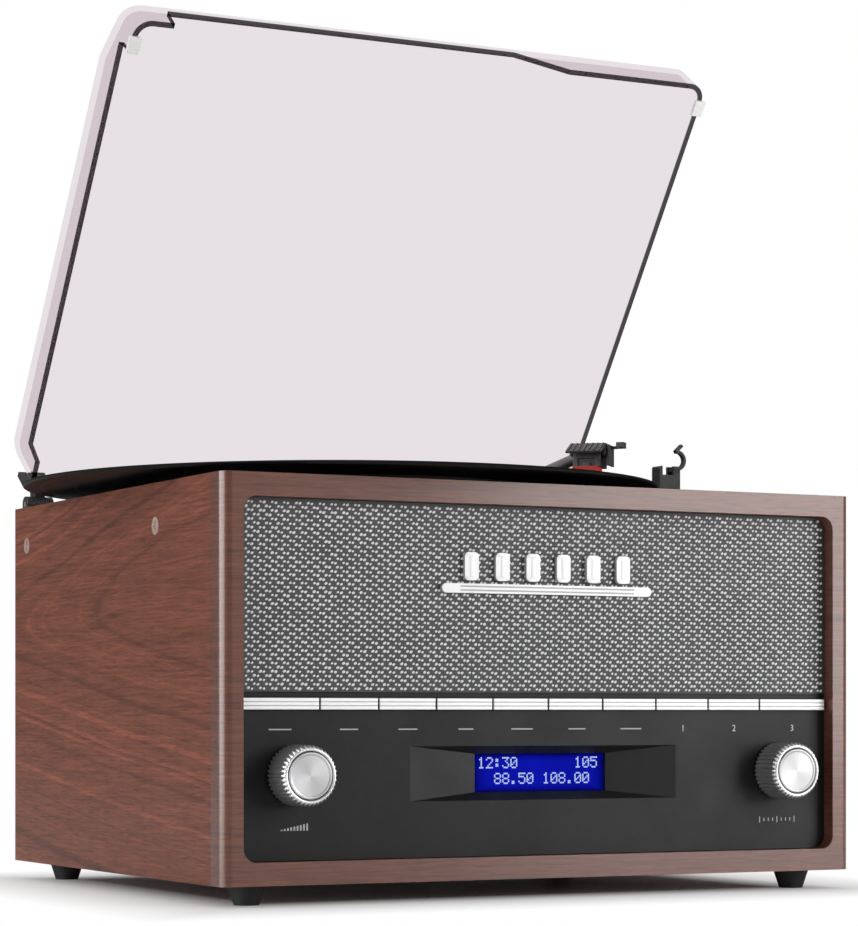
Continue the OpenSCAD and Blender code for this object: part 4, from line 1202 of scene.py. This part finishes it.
@dataclass
class Keys:
    """Ten push keys, each faced with a bright plate of three round reeds."""

    nodes: dict[str, Piece]
    left: float = -149.0
    end_w: float = 36.7
    low: float = FOOT_H + 74.6
    height: float = 5.2
    front: float = KEY_FRONT
    bulge: float = 0.34
    seat: float = 0.012
    rim: float = 0.06
    gap: float = 0.4
    count: int = 10
    reeds: int = 3
    steps: int = 13

    def plate(self, name: str, x0: float, x1: float) -> Piece:
        """Plate whose depth is three flattened arches over the height, and which thins at both ends.

        Args:
            name: the piece's name.
            x0: its left end.
            x1: its right end.

        Returns:
            The plate.
        """
        t = 0.5 - 0.5 * np.cos(np.linspace(0, np.pi, self.steps)[:-1])
        arch = (1 - np.abs(2 * t - 1) ** 4) ** 0.5
        rise = np.concatenate([arch] * self.reeds + [[0.0]]) * 0.9 + 0.1
        z = np.concatenate([t + i for i in range(self.reeds)] + [[self.reeds]]) * self.height / self.reeds
        z = self.low + self.rim + z * (self.height - 2 * self.rim) / self.height
        end = np.array([0.0, 0.0, 0.12, 0.3, 0.6])
        x = np.concatenate([x0 + end, x1 - end[::-1]])
        share = np.array([0.0, 0.55, 0.85, 0.97, 1.0])
        share = np.concatenate([share, share[::-1]])
        y = self.front - self.seat - self.bulge * rise[None, :] * share[:, None]
        face = np.stack([np.repeat(x[:, None], len(z), 1), y, np.repeat(z[None], len(x), 0)], -1)
        back = face.copy()
        back[..., 1] = self.front - self.seat
        shell = Shell().grid(face).grid(back, flip=True)
        for edge in (0, -1):
            shell.grid(np.stack([face[:, edge], back[:, edge]], 1), flip=edge == 0)
        return shell.build(name)

    def build(self) -> None:
        """Dresses the ten packed keys and lays a reeded plate on each."""
        width = -2 * self.left
        mid_w = (width - 2 * self.end_w) / (self.count - 2)
        inner = self.end_w + mid_w * np.arange(self.count - 1)
        edges = self.left + np.concatenate([[0.0], inner, [width]])
        for i in range(self.count):
            name = f"key_{i + 1:02d}"
            wear(self.nodes[name], PLATED)
            soften_node(self.nodes[name], 0.12, 3)
            plate = self.plate(f"{name}_reeds", edges[i] + self.gap, edges[i + 1] - self.gap)
            dress(plate, name, PLATED)


@dataclass
class Ribs:
    """Six upright ribs, one down the middle of each bar of the badge."""

    count: int = 6
    pitch: float = 15.5
    half_w: float = 1.15
    half_h: float = 4.6
    middle: float = FOOT_H + 137.8
    front: float = BADGE_FRONT - 0.012
    proud: float = 0.16
    steps: int = 13

    def build(self) -> None:
        """Each rib is half an ellipse across, times the root of one less the eighth power of its height."""
        turn = np.sin(np.linspace(-np.pi / 2, np.pi / 2, self.steps))
        a, b = np.meshgrid(turn, turn, indexing="ij")
        rise = np.sqrt(np.clip((1 - a ** 2) * (1 - b ** 8), 0, None))
        shell = Shell()
        z = self.middle + self.half_h * b
        for i in range(self.count):
            x = (i - (self.count - 1) / 2) * self.pitch + self.half_w * a
            back = np.stack([x, np.full_like(x, self.front), z], -1)
            face = back - np.stack([0 * x, self.proud * rise, 0 * x], -1)
            shell.grid(face).grid(back, flip=True)
        dress(shell.build("badge_ribs"), Body.CABINET, BADGE)


@dataclass
class Knob:
    """Turned knob: toothed side, bright chamfer and ring, dark groove and spun cap."""

    side: int
    body: Body
    name: str
    teeth: int = 40
    tooth_top: float = 0.35
    tooth_steps: int = 12
    round_steps: int = 128
    front: float = FACE_Y - 16.6

    def centre(self) -> Array:
        """Point on the knob's axis at its front."""
        return np.array([self.side * KNOB_X, self.front, DIAL_Z])

    def toothed(self, profile: Array, depth: float, share: Array, flip: bool) -> Shell:
        """Profile turned round the axis, less a rounded groove between teeth: a power of a raised cosine.

        Args:
            profile: points (radius, depth behind the front) of shape (n, 2).
            depth: depth of a groove.
            share: share of that depth at each point of the profile.
            flip: turns the faces over.

        Returns:
            The shell.
        """
        t = np.linspace(0, 2 * np.pi, self.teeth * self.tooth_steps, endpoint=False)
        wave = 0.5 - 0.5 * np.cos(self.teeth * t)
        groove = np.clip((wave - self.tooth_top) / (1 - self.tooth_top), 0, 1) ** 0.8
        r = profile[:, 0][:, None] - depth * share[:, None] * groove[None, :]
        y = profile[:, 1][:, None] + 0 * t
        p = np.stack([r * np.cos(t), y, -r * np.sin(t)], -1) + self.centre()
        return Shell().grid(p, wrap_v=True, flip=flip)

    def grip(self) -> Piece:
        """Side with teeth that fade at the front, with the closed front and the bore behind it.

        Returns:
            The piece.
        """
        profile = np.array([
            [0.0, 1.2], [10.35, 1.2], [10.35, 0.35], [10.5, 0.1], [10.75, 0.0], [11.5, 0.0], [11.75, 0.08],
            [12.35, 0.62], [12.9, 1.25], [13.0, 1.6], [13.0, 2.4], [13.0, 5.0], [13.0, 9.0], [13.0, 12.4],
            [13.05, 12.9], [13.15, 13.2], [13.2, 13.6], [13.2, 15.3], [13.0, 15.6], [6.0, 15.6], [6.0, 13.2],
            [3.04, 13.2], [3.04, 5.0], [0.0, 5.0],
        ])
        share = np.interp(profile[:, 1], [0.45, 1.0], [0, 1]) * (profile[:, 0] > 11.9)
        return self.toothed(profile, 0.78, share, True).build(f"{self.name}_grip")

    def ring(self) -> Piece:
        """Bright ring with the ends of the teeth on its chamfer.

        Returns:
            The piece.
        """
        profile = np.array([
            [10.6, 0.6], [10.6, -0.08], [10.75, -0.25], [11.5, -0.25], [11.8, -0.12], [12.25, 0.32],
            [12.42, 0.62], [12.3, 0.75], [11.6, 0.6], [10.6, 0.6],
        ])
        share = np.interp(profile[:, 0], [11.7, 12.2], [0, 1])
        return self.toothed(profile, 0.72, share, False).build(f"{self.name}_ring")

    def cap(self) -> Piece:
        """Cap with a raised rim and a shallow dish.

        Returns:
            The piece.
        """
        profile = np.array([
            [0.0, 1.15], [9.7, 1.15], [9.95, 1.0], [10.05, 0.6], [10.05, 0.0], [9.9, -0.28], [9.65, -0.35],
            [9.2, -0.35], [8.85, -0.22], [8.7, -0.12], [8.55, -0.115], [8.4, -0.113], [3.0, -0.08],
            [0.0, -0.07],
        ])
        return Shell().lathe(profile, self.centre(), Axis.BACK, self.round_steps).build(f"{self.name}_disc")

    def build(self) -> None:
        """Makes the grip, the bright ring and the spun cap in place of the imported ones."""
        centre = tuple(at(*self.centre()))
        grip, ring, cap = self.grip(), self.ring(), self.cap()
        dress(grip, self.body, Finish("knob grip", (0.31, 0.31, 0.315), 0.43, 0.7, spread=0.06, bump=0.1))
        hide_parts(f"{self.name}_knob")
        # The ring and the cap wear a painted sheen, a fan that is brightest at one angle.
        dress(ring, self.body, Turned(f"{self.name} ring metal", (0.84, 0.84, 0.85), 0.28, 0.7, bump=0.08,
                                      bump_mm=0.01, fan=0.2, centre=centre))
        dress(cap, self.body, Turned(f"{self.name} spun cap", (0.64, 0.64, 0.65), 0.33, 0.55, bump=0.10,
                                     bump_mm=0.01, fan=0.36, anisotropic=0.85, centre=centre))
        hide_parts(f"{self.name}_knob_cap")


# Each digit is 7 rows of 5 dots, a row being the bits of a number.
DIGITS = {
    "0": (14, 17, 19, 21, 25, 17, 14), "1": (4, 12, 4, 4, 4, 4, 14), "2": (14, 17, 1, 2, 4, 8, 31),
    "3": (31, 2, 4, 2, 1, 17, 14), "4": (2, 6, 10, 18, 31, 2, 2), "5": (31, 16, 30, 1, 1, 17, 14),
    "6": (6, 8, 16, 30, 17, 17, 14), "7": (31, 1, 2, 4, 8, 8, 8), "8": (14, 17, 17, 14, 17, 17, 14),
    "9": (14, 17, 17, 15, 1, 2, 12), ".": (0, 0, 0, 0, 0, 12, 12), ":": (0, 12, 12, 0, 12, 12, 0),
    " ": (0, 0, 0, 0, 0, 0, 0),
}


@dataclass
class Display:
    """Lit display behind its window, with two lines of plain numbers in dots."""

    nodes: dict[str, Piece]
    half_w: float = 33.5
    half_h: float = 8.5
    plane_y: float = FACE_Y + 5.0 + 1.35
    lines: tuple[str, str] = ("12:30       105", "  88.50 108.00 ")
    dot: float = 0.62
    gap: float = 0.10
    lip: float = 0.25
    column_gap: float = 0.52
    first_row: float = 6.6
    line_pitch: float = 7.0

    def panel(self) -> Piece:
        """Lit panel: a plate with a raised lip all round, in the window's opening.

        Returns:
            The piece.
        """
        x = np.array([-1.0, -0.985, -0.955, 0.955, 0.985, 1.0]) * self.half_w
        z = np.array([-1.0, -0.95, -0.87, 0.87, 0.95, 1.0]) * self.half_h
        xx, zz = np.meshgrid(x, z, indexing="ij")
        inner = (np.abs(xx) < 0.96 * self.half_w) & (np.abs(zz) < 0.88 * self.half_h)
        y = self.plane_y + np.where(inner, 0.0, -self.lip)
        made = Shell().grid(np.stack([xx, y, zz + DIAL_Z], -1)).build("display_glow", smooth=False)
        centre = tuple(at(0, self.plane_y, DIAL_Z))
        finish = Lit("display blue", srgb(14, 22, 176), 0.35, glow=0.80, centre=centre,
                     half=(self.half_w * MM, self.half_h * MM), fade=1.0)
        return dress(made, Body.CABINET, finish)

    def dots(self) -> Piece:
        """Each lit dot is a small square frustum, its place set by column, row and line.

        Returns:
            The piece.
        """
        step = self.dot + self.gap
        column = 5 * step + self.column_gap
        start = -len(self.lines[0]) * column / 2
        found = []
        for line, text in enumerate(self.lines):
            bits = np.array([DIGITS[c] for c in text])
            lit = (bits[:, :, None] >> np.arange(4, -1, -1)) & 1
            c, row, dot = np.nonzero(lit)
            x = start + c * column + dot * step
            z = DIAL_Z + self.first_row - line * self.line_pitch - row * step
            found.append(np.stack([x, np.full_like(x, self.plane_y - 0.02), z], -1))
        centres = np.concatenate(found)
        h = self.dot / 2
        ring = np.array([[-h, -h], [h, -h], [h, h], [-h, h]])
        levels = np.array([[1.0, 0.0], [0.9, -0.05], [0.0, -0.05]])
        local = np.stack([np.array([[r * q[0], y, r * q[1]] for q in ring]) for r, y in levels])
        made = Shell().many(local, centres).build("display_dots", smooth=False, merge=0)
        finish = Lit("display dots", srgb(196, 214, 255), 0.4, glow=0.85)
        return dress(made, Body.CABINET, finish)

    def build(self) -> None:
        """Makes the panel and its dots, and dresses the window and the module."""
        self.panel()
        self.dots()
        window = Clear("display window", (0.80, 0.82, 0.95), 0.02, spread=0.03, specular=0.1)
        wear(self.nodes["display_lens"], window)
        wear(self.nodes["lcd_module"], Lit("display module", srgb(10, 10, 70), 0.4, glow=0.1))


# Height of a digit as a share of its font's size.
DIGIT_SHARE = 0.7


@dataclass
class Print:
    """Flat print on the control panel and the deck: plain numbers and marks, a few hundredths proud."""

    lift: float = 0.04
    row_z: float = FOOT_H + 66.2
    mark_x: tuple[float, ...] = (29.9, 62.5, 90.9, 119.5, 147.7, 175.9, 204.1)
    mark_w: tuple[float, ...] = (10.6, 8.6, 9.2, 7.4, 11.0, 8.8, 11.0)
    mark_h: float = 0.55
    number_x: tuple[float, ...] = (231.9, 259.6, 291.8)
    number_h: float = 2.9
    deck_number_h: float = 3.2
    deck_z: float = TOP - 0.97

    def number(self, text: str, name: str, height: float, place: Array, flat: bool, finish: Finish) -> None:
        """Turns a number into a thin mesh at a place.

        Args:
            text: the digits.
            name: the piece's name.
            height: height of a digit in millimetres.
            place: middle of the number in the cabinet's millimetres.
            flat: True on the deck, False on the front.
            finish: the print's finish.
        """
        curve = bpy.data.curves.new(name, "FONT")
        curve.body, curve.size = text, height / DIGIT_SHARE * MM
        curve.align_x, curve.align_y = "CENTER", "CENTER"
        curve.extrude = 0.02 * MM
        made = link(name, curve)
        bpy.context.view_layer.update()
        mesh = bpy.data.meshes.new_from_object(made)
        bpy.data.objects.remove(made)
        turn = Matrix.Identity(4) if flat else Matrix.Rotation(math.pi / 2, 4, "X")
        mesh.transform(Matrix.Translation(at(*place)) @ turn)
        mesh.name = name
        made = link(name, mesh)
        weld_mesh(made, DOUBLES)
        dress(made, Body.CABINET, finish)

    def strokes(self, name: str, boxes: Array, y: float, finish: Finish) -> None:
        """Makes upright printed bars, each given by its middle x and z, width and height.

        Args:
            name: the piece's name.
            boxes: x, z, width and height of each bar.
            y: depth of the surface that it is printed on.
            finish: its finish.
        """
        corner = np.array([[-0.5, -0.5], [0.5, -0.5], [0.5, 0.5], [-0.5, 0.5]])
        levels = np.array([[1.0, 0.0], [1.0, -self.lift], [0.0, -self.lift]])
        shape = np.array([[[r * c[0], h, r * c[1]] for c in corner] for r, h in levels])
        local = shape[None] * np.stack([boxes[:, 2], np.ones(len(boxes)), boxes[:, 3]], -1)[:, None, None, :]
        centres = np.stack([boxes[:, 0], np.full(len(boxes), y - 0.005), boxes[:, 1]], -1)
        made = Shell().many(local, centres).build(name, smooth=False, merge=0)
        dress(made, Body.CABINET, finish)

    def build(self) -> None:
        """Marks under the keys, round the knobs and beside the speed selector."""
        half = CAB_W / 2
        for i, (x, w) in enumerate(zip(self.mark_x, self.mark_w)):
            bar = np.array([[x - half, self.row_z, w, self.mark_h]])
            self.strokes(f"key_mark_{i + 1}", bar, FACE_Y, PRINT)
        for text, x in zip("123", self.number_x):
            place = np.array([x - half, FACE_Y - self.lift, self.row_z])
            self.number(text, f"key_number_{text}", self.number_h, place, False, WHITE_PRINT)
        steps = np.arange(9)
        wedge = np.stack([-KNOB_X - 6 + steps * 1.5, FOOT_H + 23.2 + steps * 0.16, 0 * steps + 0.8,
                          0.5 + steps * 0.32], -1)
        self.strokes("volume_wedge", wedge, FACE_Y, PRINT)
        ticks = np.arange(-4, 5)
        scale = np.stack([KNOB_X + ticks * 2.4, FOOT_H + 23.9 + 0 * ticks, 0 * ticks + 0.45,
                          np.where(ticks % 4 == 0, 2.8, 1.5)], -1)
        self.strokes("tuning_ticks", scale, FACE_Y, PRINT)
        for name, x, marks in (("speed", 124.5, {"33": 128.0, "45": 136.0, "78": 144.0}),
                               ("stop", 125.5, {"0": 170.0, "1": 176.0})):
            for text, y in marks.items():
                place = np.array([x, y, self.deck_z])
                self.number(text, f"{name}_{text}", self.deck_number_h, place, True, WHITE_PRINT)


@dataclass
class Record:
    """Record on the platter: fine grooves and a plain red label on each face."""

    nodes: dict[str, Piece]
    underside: float = TOP + 4.4
    thickness: float = 1.8
    steps: int = 128

    def label(self, name: str, z: float, up: float) -> None:
        """Label: a flat ring with a pressed groove, as a profile turned round the spindle.

        Args:
            name: the piece's name.
            z: height of the record's face.
            up: 1 for the upper face and -1 for the lower.
        """
        r = np.array([3.7, 4.2, 15.8, 16.2, 16.6, 17.0, 48.6, 49.0])
        h = np.array([0.01, 0.05, 0.05, 0.02, 0.02, 0.05, 0.05, 0.01]) * up
        profile = np.stack([r, z + h], -1)[:: 1 if up > 0 else -1]
        made = Shell().lathe(profile, np.array([*SPINDLE, 0.0]), Axis.UPRIGHT, self.steps).build(name)
        dress(made, Body.TURNTABLE, LABEL)

    def build(self) -> None:
        """Dresses the record and lays its labels."""
        centre = tuple(at(*SPINDLE, self.underside))
        wear(self.nodes["record"], Vinyl("pressed vinyl", srgb(14, 14, 15), 0.30, bump=0.35, bump_mm=0.02,
                                         specular=0.12, centre=centre))
        soften_node(self.nodes["record"], 0.0)
        self.label("record_label_top", self.underside + self.thickness, 1)
        self.label("record_label_under", self.underside, -1)


@dataclass
class Head:
    """Relief on the headshell and the cartridge, in the head's own millimetres: -y is to its front."""

    pivot: tuple[float, float] = (SPINDLE[0] + PIVOT_RUN * math.cos(PIVOT_TURN),
                                  SPINDLE[1] + PIVOT_RUN * math.sin(PIVOT_TURN))
    reach: float = 165.0
    arm_turn: float = math.radians(18.6)
    head_turn: float = math.radians(23.0)
    half_w: float = 8.5
    front: float = -27.0
    floor: float = TOP + 13.5
    shell: float = TOP + 18.9
    top: float = TOP + 24.8

    def place(self, p: Array) -> Array:
        """Turns points of the head into the cabinet's millimetres: by the head's angle, then the arm's.

        Args:
            p: points of the head, of shape (..., 3).

        Returns:
            Points of the cabinet, in millimetres, of shape (..., 3).
        """
        for angle, shift in ((self.head_turn, (0.0, -self.reach)), (self.arm_turn, self.pivot)):
            c, s = math.cos(angle), math.sin(angle)
            x, y = p[..., 0] * c + p[..., 1] * s, -p[..., 0] * s + p[..., 1] * c
            p = np.stack([x + shift[0], y + shift[1], p[..., 2]], -1)
        return p

    def slope(self, p: Array) -> Array:
        """Lays points on the visor: y runs down it from 0 to 1 and z stands out from it.

        Args:
            p: points of the visor, of shape (..., 3).

        Returns:
            Points of the cabinet, in millimetres, of shape (..., 3).
        """
        start = np.array([self.front + 12, self.top])
        end = np.array([self.front + 0.4, self.shell + 1.4])
        run = end - start
        out = np.array([run[1], -run[0]]) / np.hypot(*run)
        y, z = (start[i] + p[..., 1] * run[i] + p[..., 2] * out[i] for i in (0, 1))
        return self.place(np.stack([p[..., 0], y, z], -1))

    def piece(self, name: str, boxes: list[list[float]], finish: Finish) -> Piece:
        """Makes one piece of upright boxes on the head.

        Args:
            name: the piece's name.
            boxes: low and high corner of each box.
            finish: its finish.

        Returns:
            The piece.
        """
        made = Shell().blocks(np.array(boxes), self.place).build(name, smooth=False)
        bevel(made, 0.22)
        return dress(made, Body.ARM, finish)

    def build(self) -> None:
        """Makes the shell with its ribbed visor, the finger lift, the side plate and the arch."""
        w, top, floor, y = self.half_w, self.top, self.floor, self.front + 9
        x = np.linspace(-w + 1.1, w - 1.1, 7)
        one = np.ones_like(x)
        shell = Shell().blocks(np.array([[-w, 0.0, -1.2, w, 1.0, 0.0]]), self.slope)
        ribs = np.stack([x - 0.4, 0.04 * one, -0.2 * one, x + 0.4, 0.95 * one, 0.4 * one], -1)
        shell.blocks(ribs, self.slope)
        shell.blocks(np.array([
            [-w, self.front + 11.6, top - 1.3, w, 4.0, top],
            [-w, y + 1, self.shell, -w + 1.3, 4.0, top - 0.6],
            [w - 1.3, y + 1, self.shell, w, 4.0, top - 0.6], [-w, 2.6, self.shell, w, 4.0, top - 0.6],
        ]), self.place)
        made = dress(shell.build("headshell_cover", smooth=False), Body.ARM, DARK)
        bevel(made, 0.2)
        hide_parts("headshell")
        self.piece("finger_lift", [[w - 0.5, -10, top - 2.4, w + 4.4, -7, top - 1.2],
                                   [w + 4, -11, top - 2.2, w + 8, -5.6, top + 0.6]], DARK)
        self.piece("headshell_side_plate", [[w + 0.5, y + 2, floor + 0.8, w + 1.7, -3, top - 0.8],
                                            [w - 0.2, y + 5, top - 3, w + 0.7, -6, top - 1.6]], DARK)
        self.piece("cartridge_arch", [[-w + 2, y - 0.7, floor + 0.1, -w + 4.4, y, self.shell],
                                      [w - 4.4, y - 0.7, floor + 0.1, w - 2, y, self.shell],
                                      [-w + 4, y - 0.7, self.shell - 1.5, w - 4, y, self.shell],
                                      [-1.6, y - 1.1, floor + 0.1, 1.6, y, floor + 2.2]], DARK)


@dataclass
class Lid:
    """Clear lid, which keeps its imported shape."""

    nodes: dict[str, Piece]

    def build(self) -> None:
        """Dresses the lid."""
        wear(self.nodes["lid_cover"], Rimmed("clear lid", srgb(231, 224, 228), 0.0, spread=0.02, ior=1.01))
        soften_node(self.nodes["lid_cover"], 0.0)


@dataclass(frozen=True)
class Lamp:
    """Soft box turned to the object, which may light it, show in its gloss, or both."""

    name: str
    place: Point
    size: tuple[float, float]
    watts: float
    mirrored: bool = True
    lights: bool = True

    def build(self, aim: Vector) -> None:
        """Makes the lamp, turned to a point.

        Args:
            aim: the point, in metres.
        """
        data = bpy.data.lights.new(self.name, "AREA")
        data.shape, data.energy = "RECTANGLE", self.watts
        data.size, data.size_y = self.size
        made = link(self.name, data)
        made.location = self.place
        made.rotation_mode = "QUATERNION"
        made.rotation_quaternion = (aim - Vector(self.place)).to_track_quat("-Z", "Y")
        made.visible_camera = made.visible_transmission = False
        made.visible_glossy, made.visible_diffuse = self.mirrored, self.lights


@dataclass
class Studio:
    """Floor, world, lamps and camera."""

    eye: Vector = field(default_factory=lambda: Vector((-0.6226, -1.2534, 0.0814)))
    yaw: float = 27.2
    lens: float = 112.9
    rise: float = 0.2721
    ambient: float = 0.34
    mirrored: float = 0.14
    aim: Vector = field(default_factory=lambda: Vector((0.0, 0.0, 0.12)))
    lamps: tuple[Lamp, ...] = (
        Lamp("key", (1.0, -1.15, 0.42), (0.85, 0.8), 12.5),
        Lamp("left", (-1.5, -0.35, 0.35), (1.0, 0.9), 2.3, mirrored=False),
        Lamp("corner", (-1.25, 0.2, 0.45), (0.7, 1.2), 4.2),
        Lamp("edge", (-1.25, -0.15, 0.35), (1.2, 1.6), 36, lights=False),
        Lamp("top", (0.1, 0.1, 1.9), (1.6, 1.6), 11),
        Lamp("back", (0.5, 1.8, 1.3), (1.4, 1.0), 6, mirrored=False),
    )
    floor_rings: tuple[float, ...] = (0.0, 0.3, 0.8, 1.6, 3.0, 6.0, 12.0)
    floor_steps: int = 96
    floor_tone: float = 0.93
    floor_fade: tuple[float, float] = (-0.03, 0.06)

    def camera(self) -> None:
        """Level camera at the photograph's viewing angle."""
        data = bpy.data.cameras.new("camera")
        data.lens, data.sensor_width, data.shift_y = self.lens, 36.0, self.rise
        data.clip_start, data.clip_end = 0.01, 50.0
        made = link("camera", data)
        made.location = self.eye
        made.rotation_euler = (math.pi / 2, 0, -math.radians(self.yaw))
        bpy.context.scene.camera = made

    def seen(self, g: Graph) -> Socket:
        """1 for rays that show the background: straight ones and those through clear plastic."""
        path = g.put("ShaderNodeLightPath")
        return g.math("MAXIMUM", path.outputs["Is Camera Ray"], path.outputs["Is Transmission Ray"])

    def world(self) -> None:
        """White where it is seen, dim where it is mirrored, and soft where it lights."""
        world = bpy.data.worlds.new("studio")
        world.use_nodes = True
        g = Graph(world.node_tree)
        back = world.node_tree.nodes["Background"]
        mirrored = g.put("ShaderNodeLightPath").outputs["Is Glossy Ray"]
        dim = g.span(mirrored, 0, 1, self.ambient, self.mirrored)
        g.give(back.inputs["Color"], (1.0, 1.0, 1.0))
        g.give(back.inputs["Strength"], g.math("MAXIMUM", self.seen(g), dim))
        bpy.context.scene.world = world

    def floor(self) -> None:
        """Pale floor that is lit beside and under the cabinet, and shows plain white further out."""
        r = np.array(self.floor_rings)[:, None]
        t = np.linspace(0, 2 * np.pi, self.floor_steps, endpoint=False)
        p = np.stack([r * np.cos(t), r * np.sin(t), 0 * r + 0 * t], -1) / MM - SHIFT_MM
        made = Shell().grid(p, wrap_v=True).build("floor", smooth=False)
        material = bpy.data.materials.new("pale floor")
        material.use_nodes = True
        g = Graph(material.node_tree)
        shader = material.node_tree.nodes["Principled BSDF"]
        g.give(shader.inputs["Base Color"], (self.floor_tone,) * 3)
        shader.inputs["Roughness"].default_value = 0.35
        shader.inputs["Specular IOR Level"].default_value = 0.25
        own = g.off(g.place(), tuple(at(0, CAB_D / 2, 0)))
        apart = [g.sub(g.math("ABSOLUTE", g.dot(own, axis)), side / 2 * MM)
                 for axis, side in ((RIGHT, CAB_W), (BACKWARD, CAB_D))]
        share = g.mul(g.span(g.math("MAXIMUM", *apart), *self.floor_fade), self.seen(g))
        white = g.put("ShaderNodeEmission", Color=(1.0, 1.0, 1.0), Strength=1.0)
        mix = g.put("ShaderNodeMixShader", i0=share, i1=shader.outputs[0], i2=white.outputs[0])
        g.give(material.node_tree.nodes["Material Output"].inputs["Surface"], mix.outputs[0])
        made.data.materials.append(material)

    def build(self) -> None:
        """Sets the studio up."""
        bpy.context.scene.view_settings.view_transform = "Standard"
        self.camera()
        self.world()
        self.floor()
        for lamp in self.lamps:
            lamp.build(self.aim)


def main() -> None:
    logging.basicConfig(level=logging.INFO, format="%(message)s")
    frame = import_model()
    nodes = frame["nodes"]
    Studio().build()
    Cabinet(nodes).build()
    Keys(nodes).build()
    Ribs().build()
    Grille().build()
    Knob(-1, Body.VOLUME, "volume").build()
    Knob(1, Body.TUNE, "tune").build()
    Display(nodes).build()
    Print().build()
    Record(nodes).build()
    Head().build()
    Lid(nodes).build()


if __name__ == "__main__":
    main()
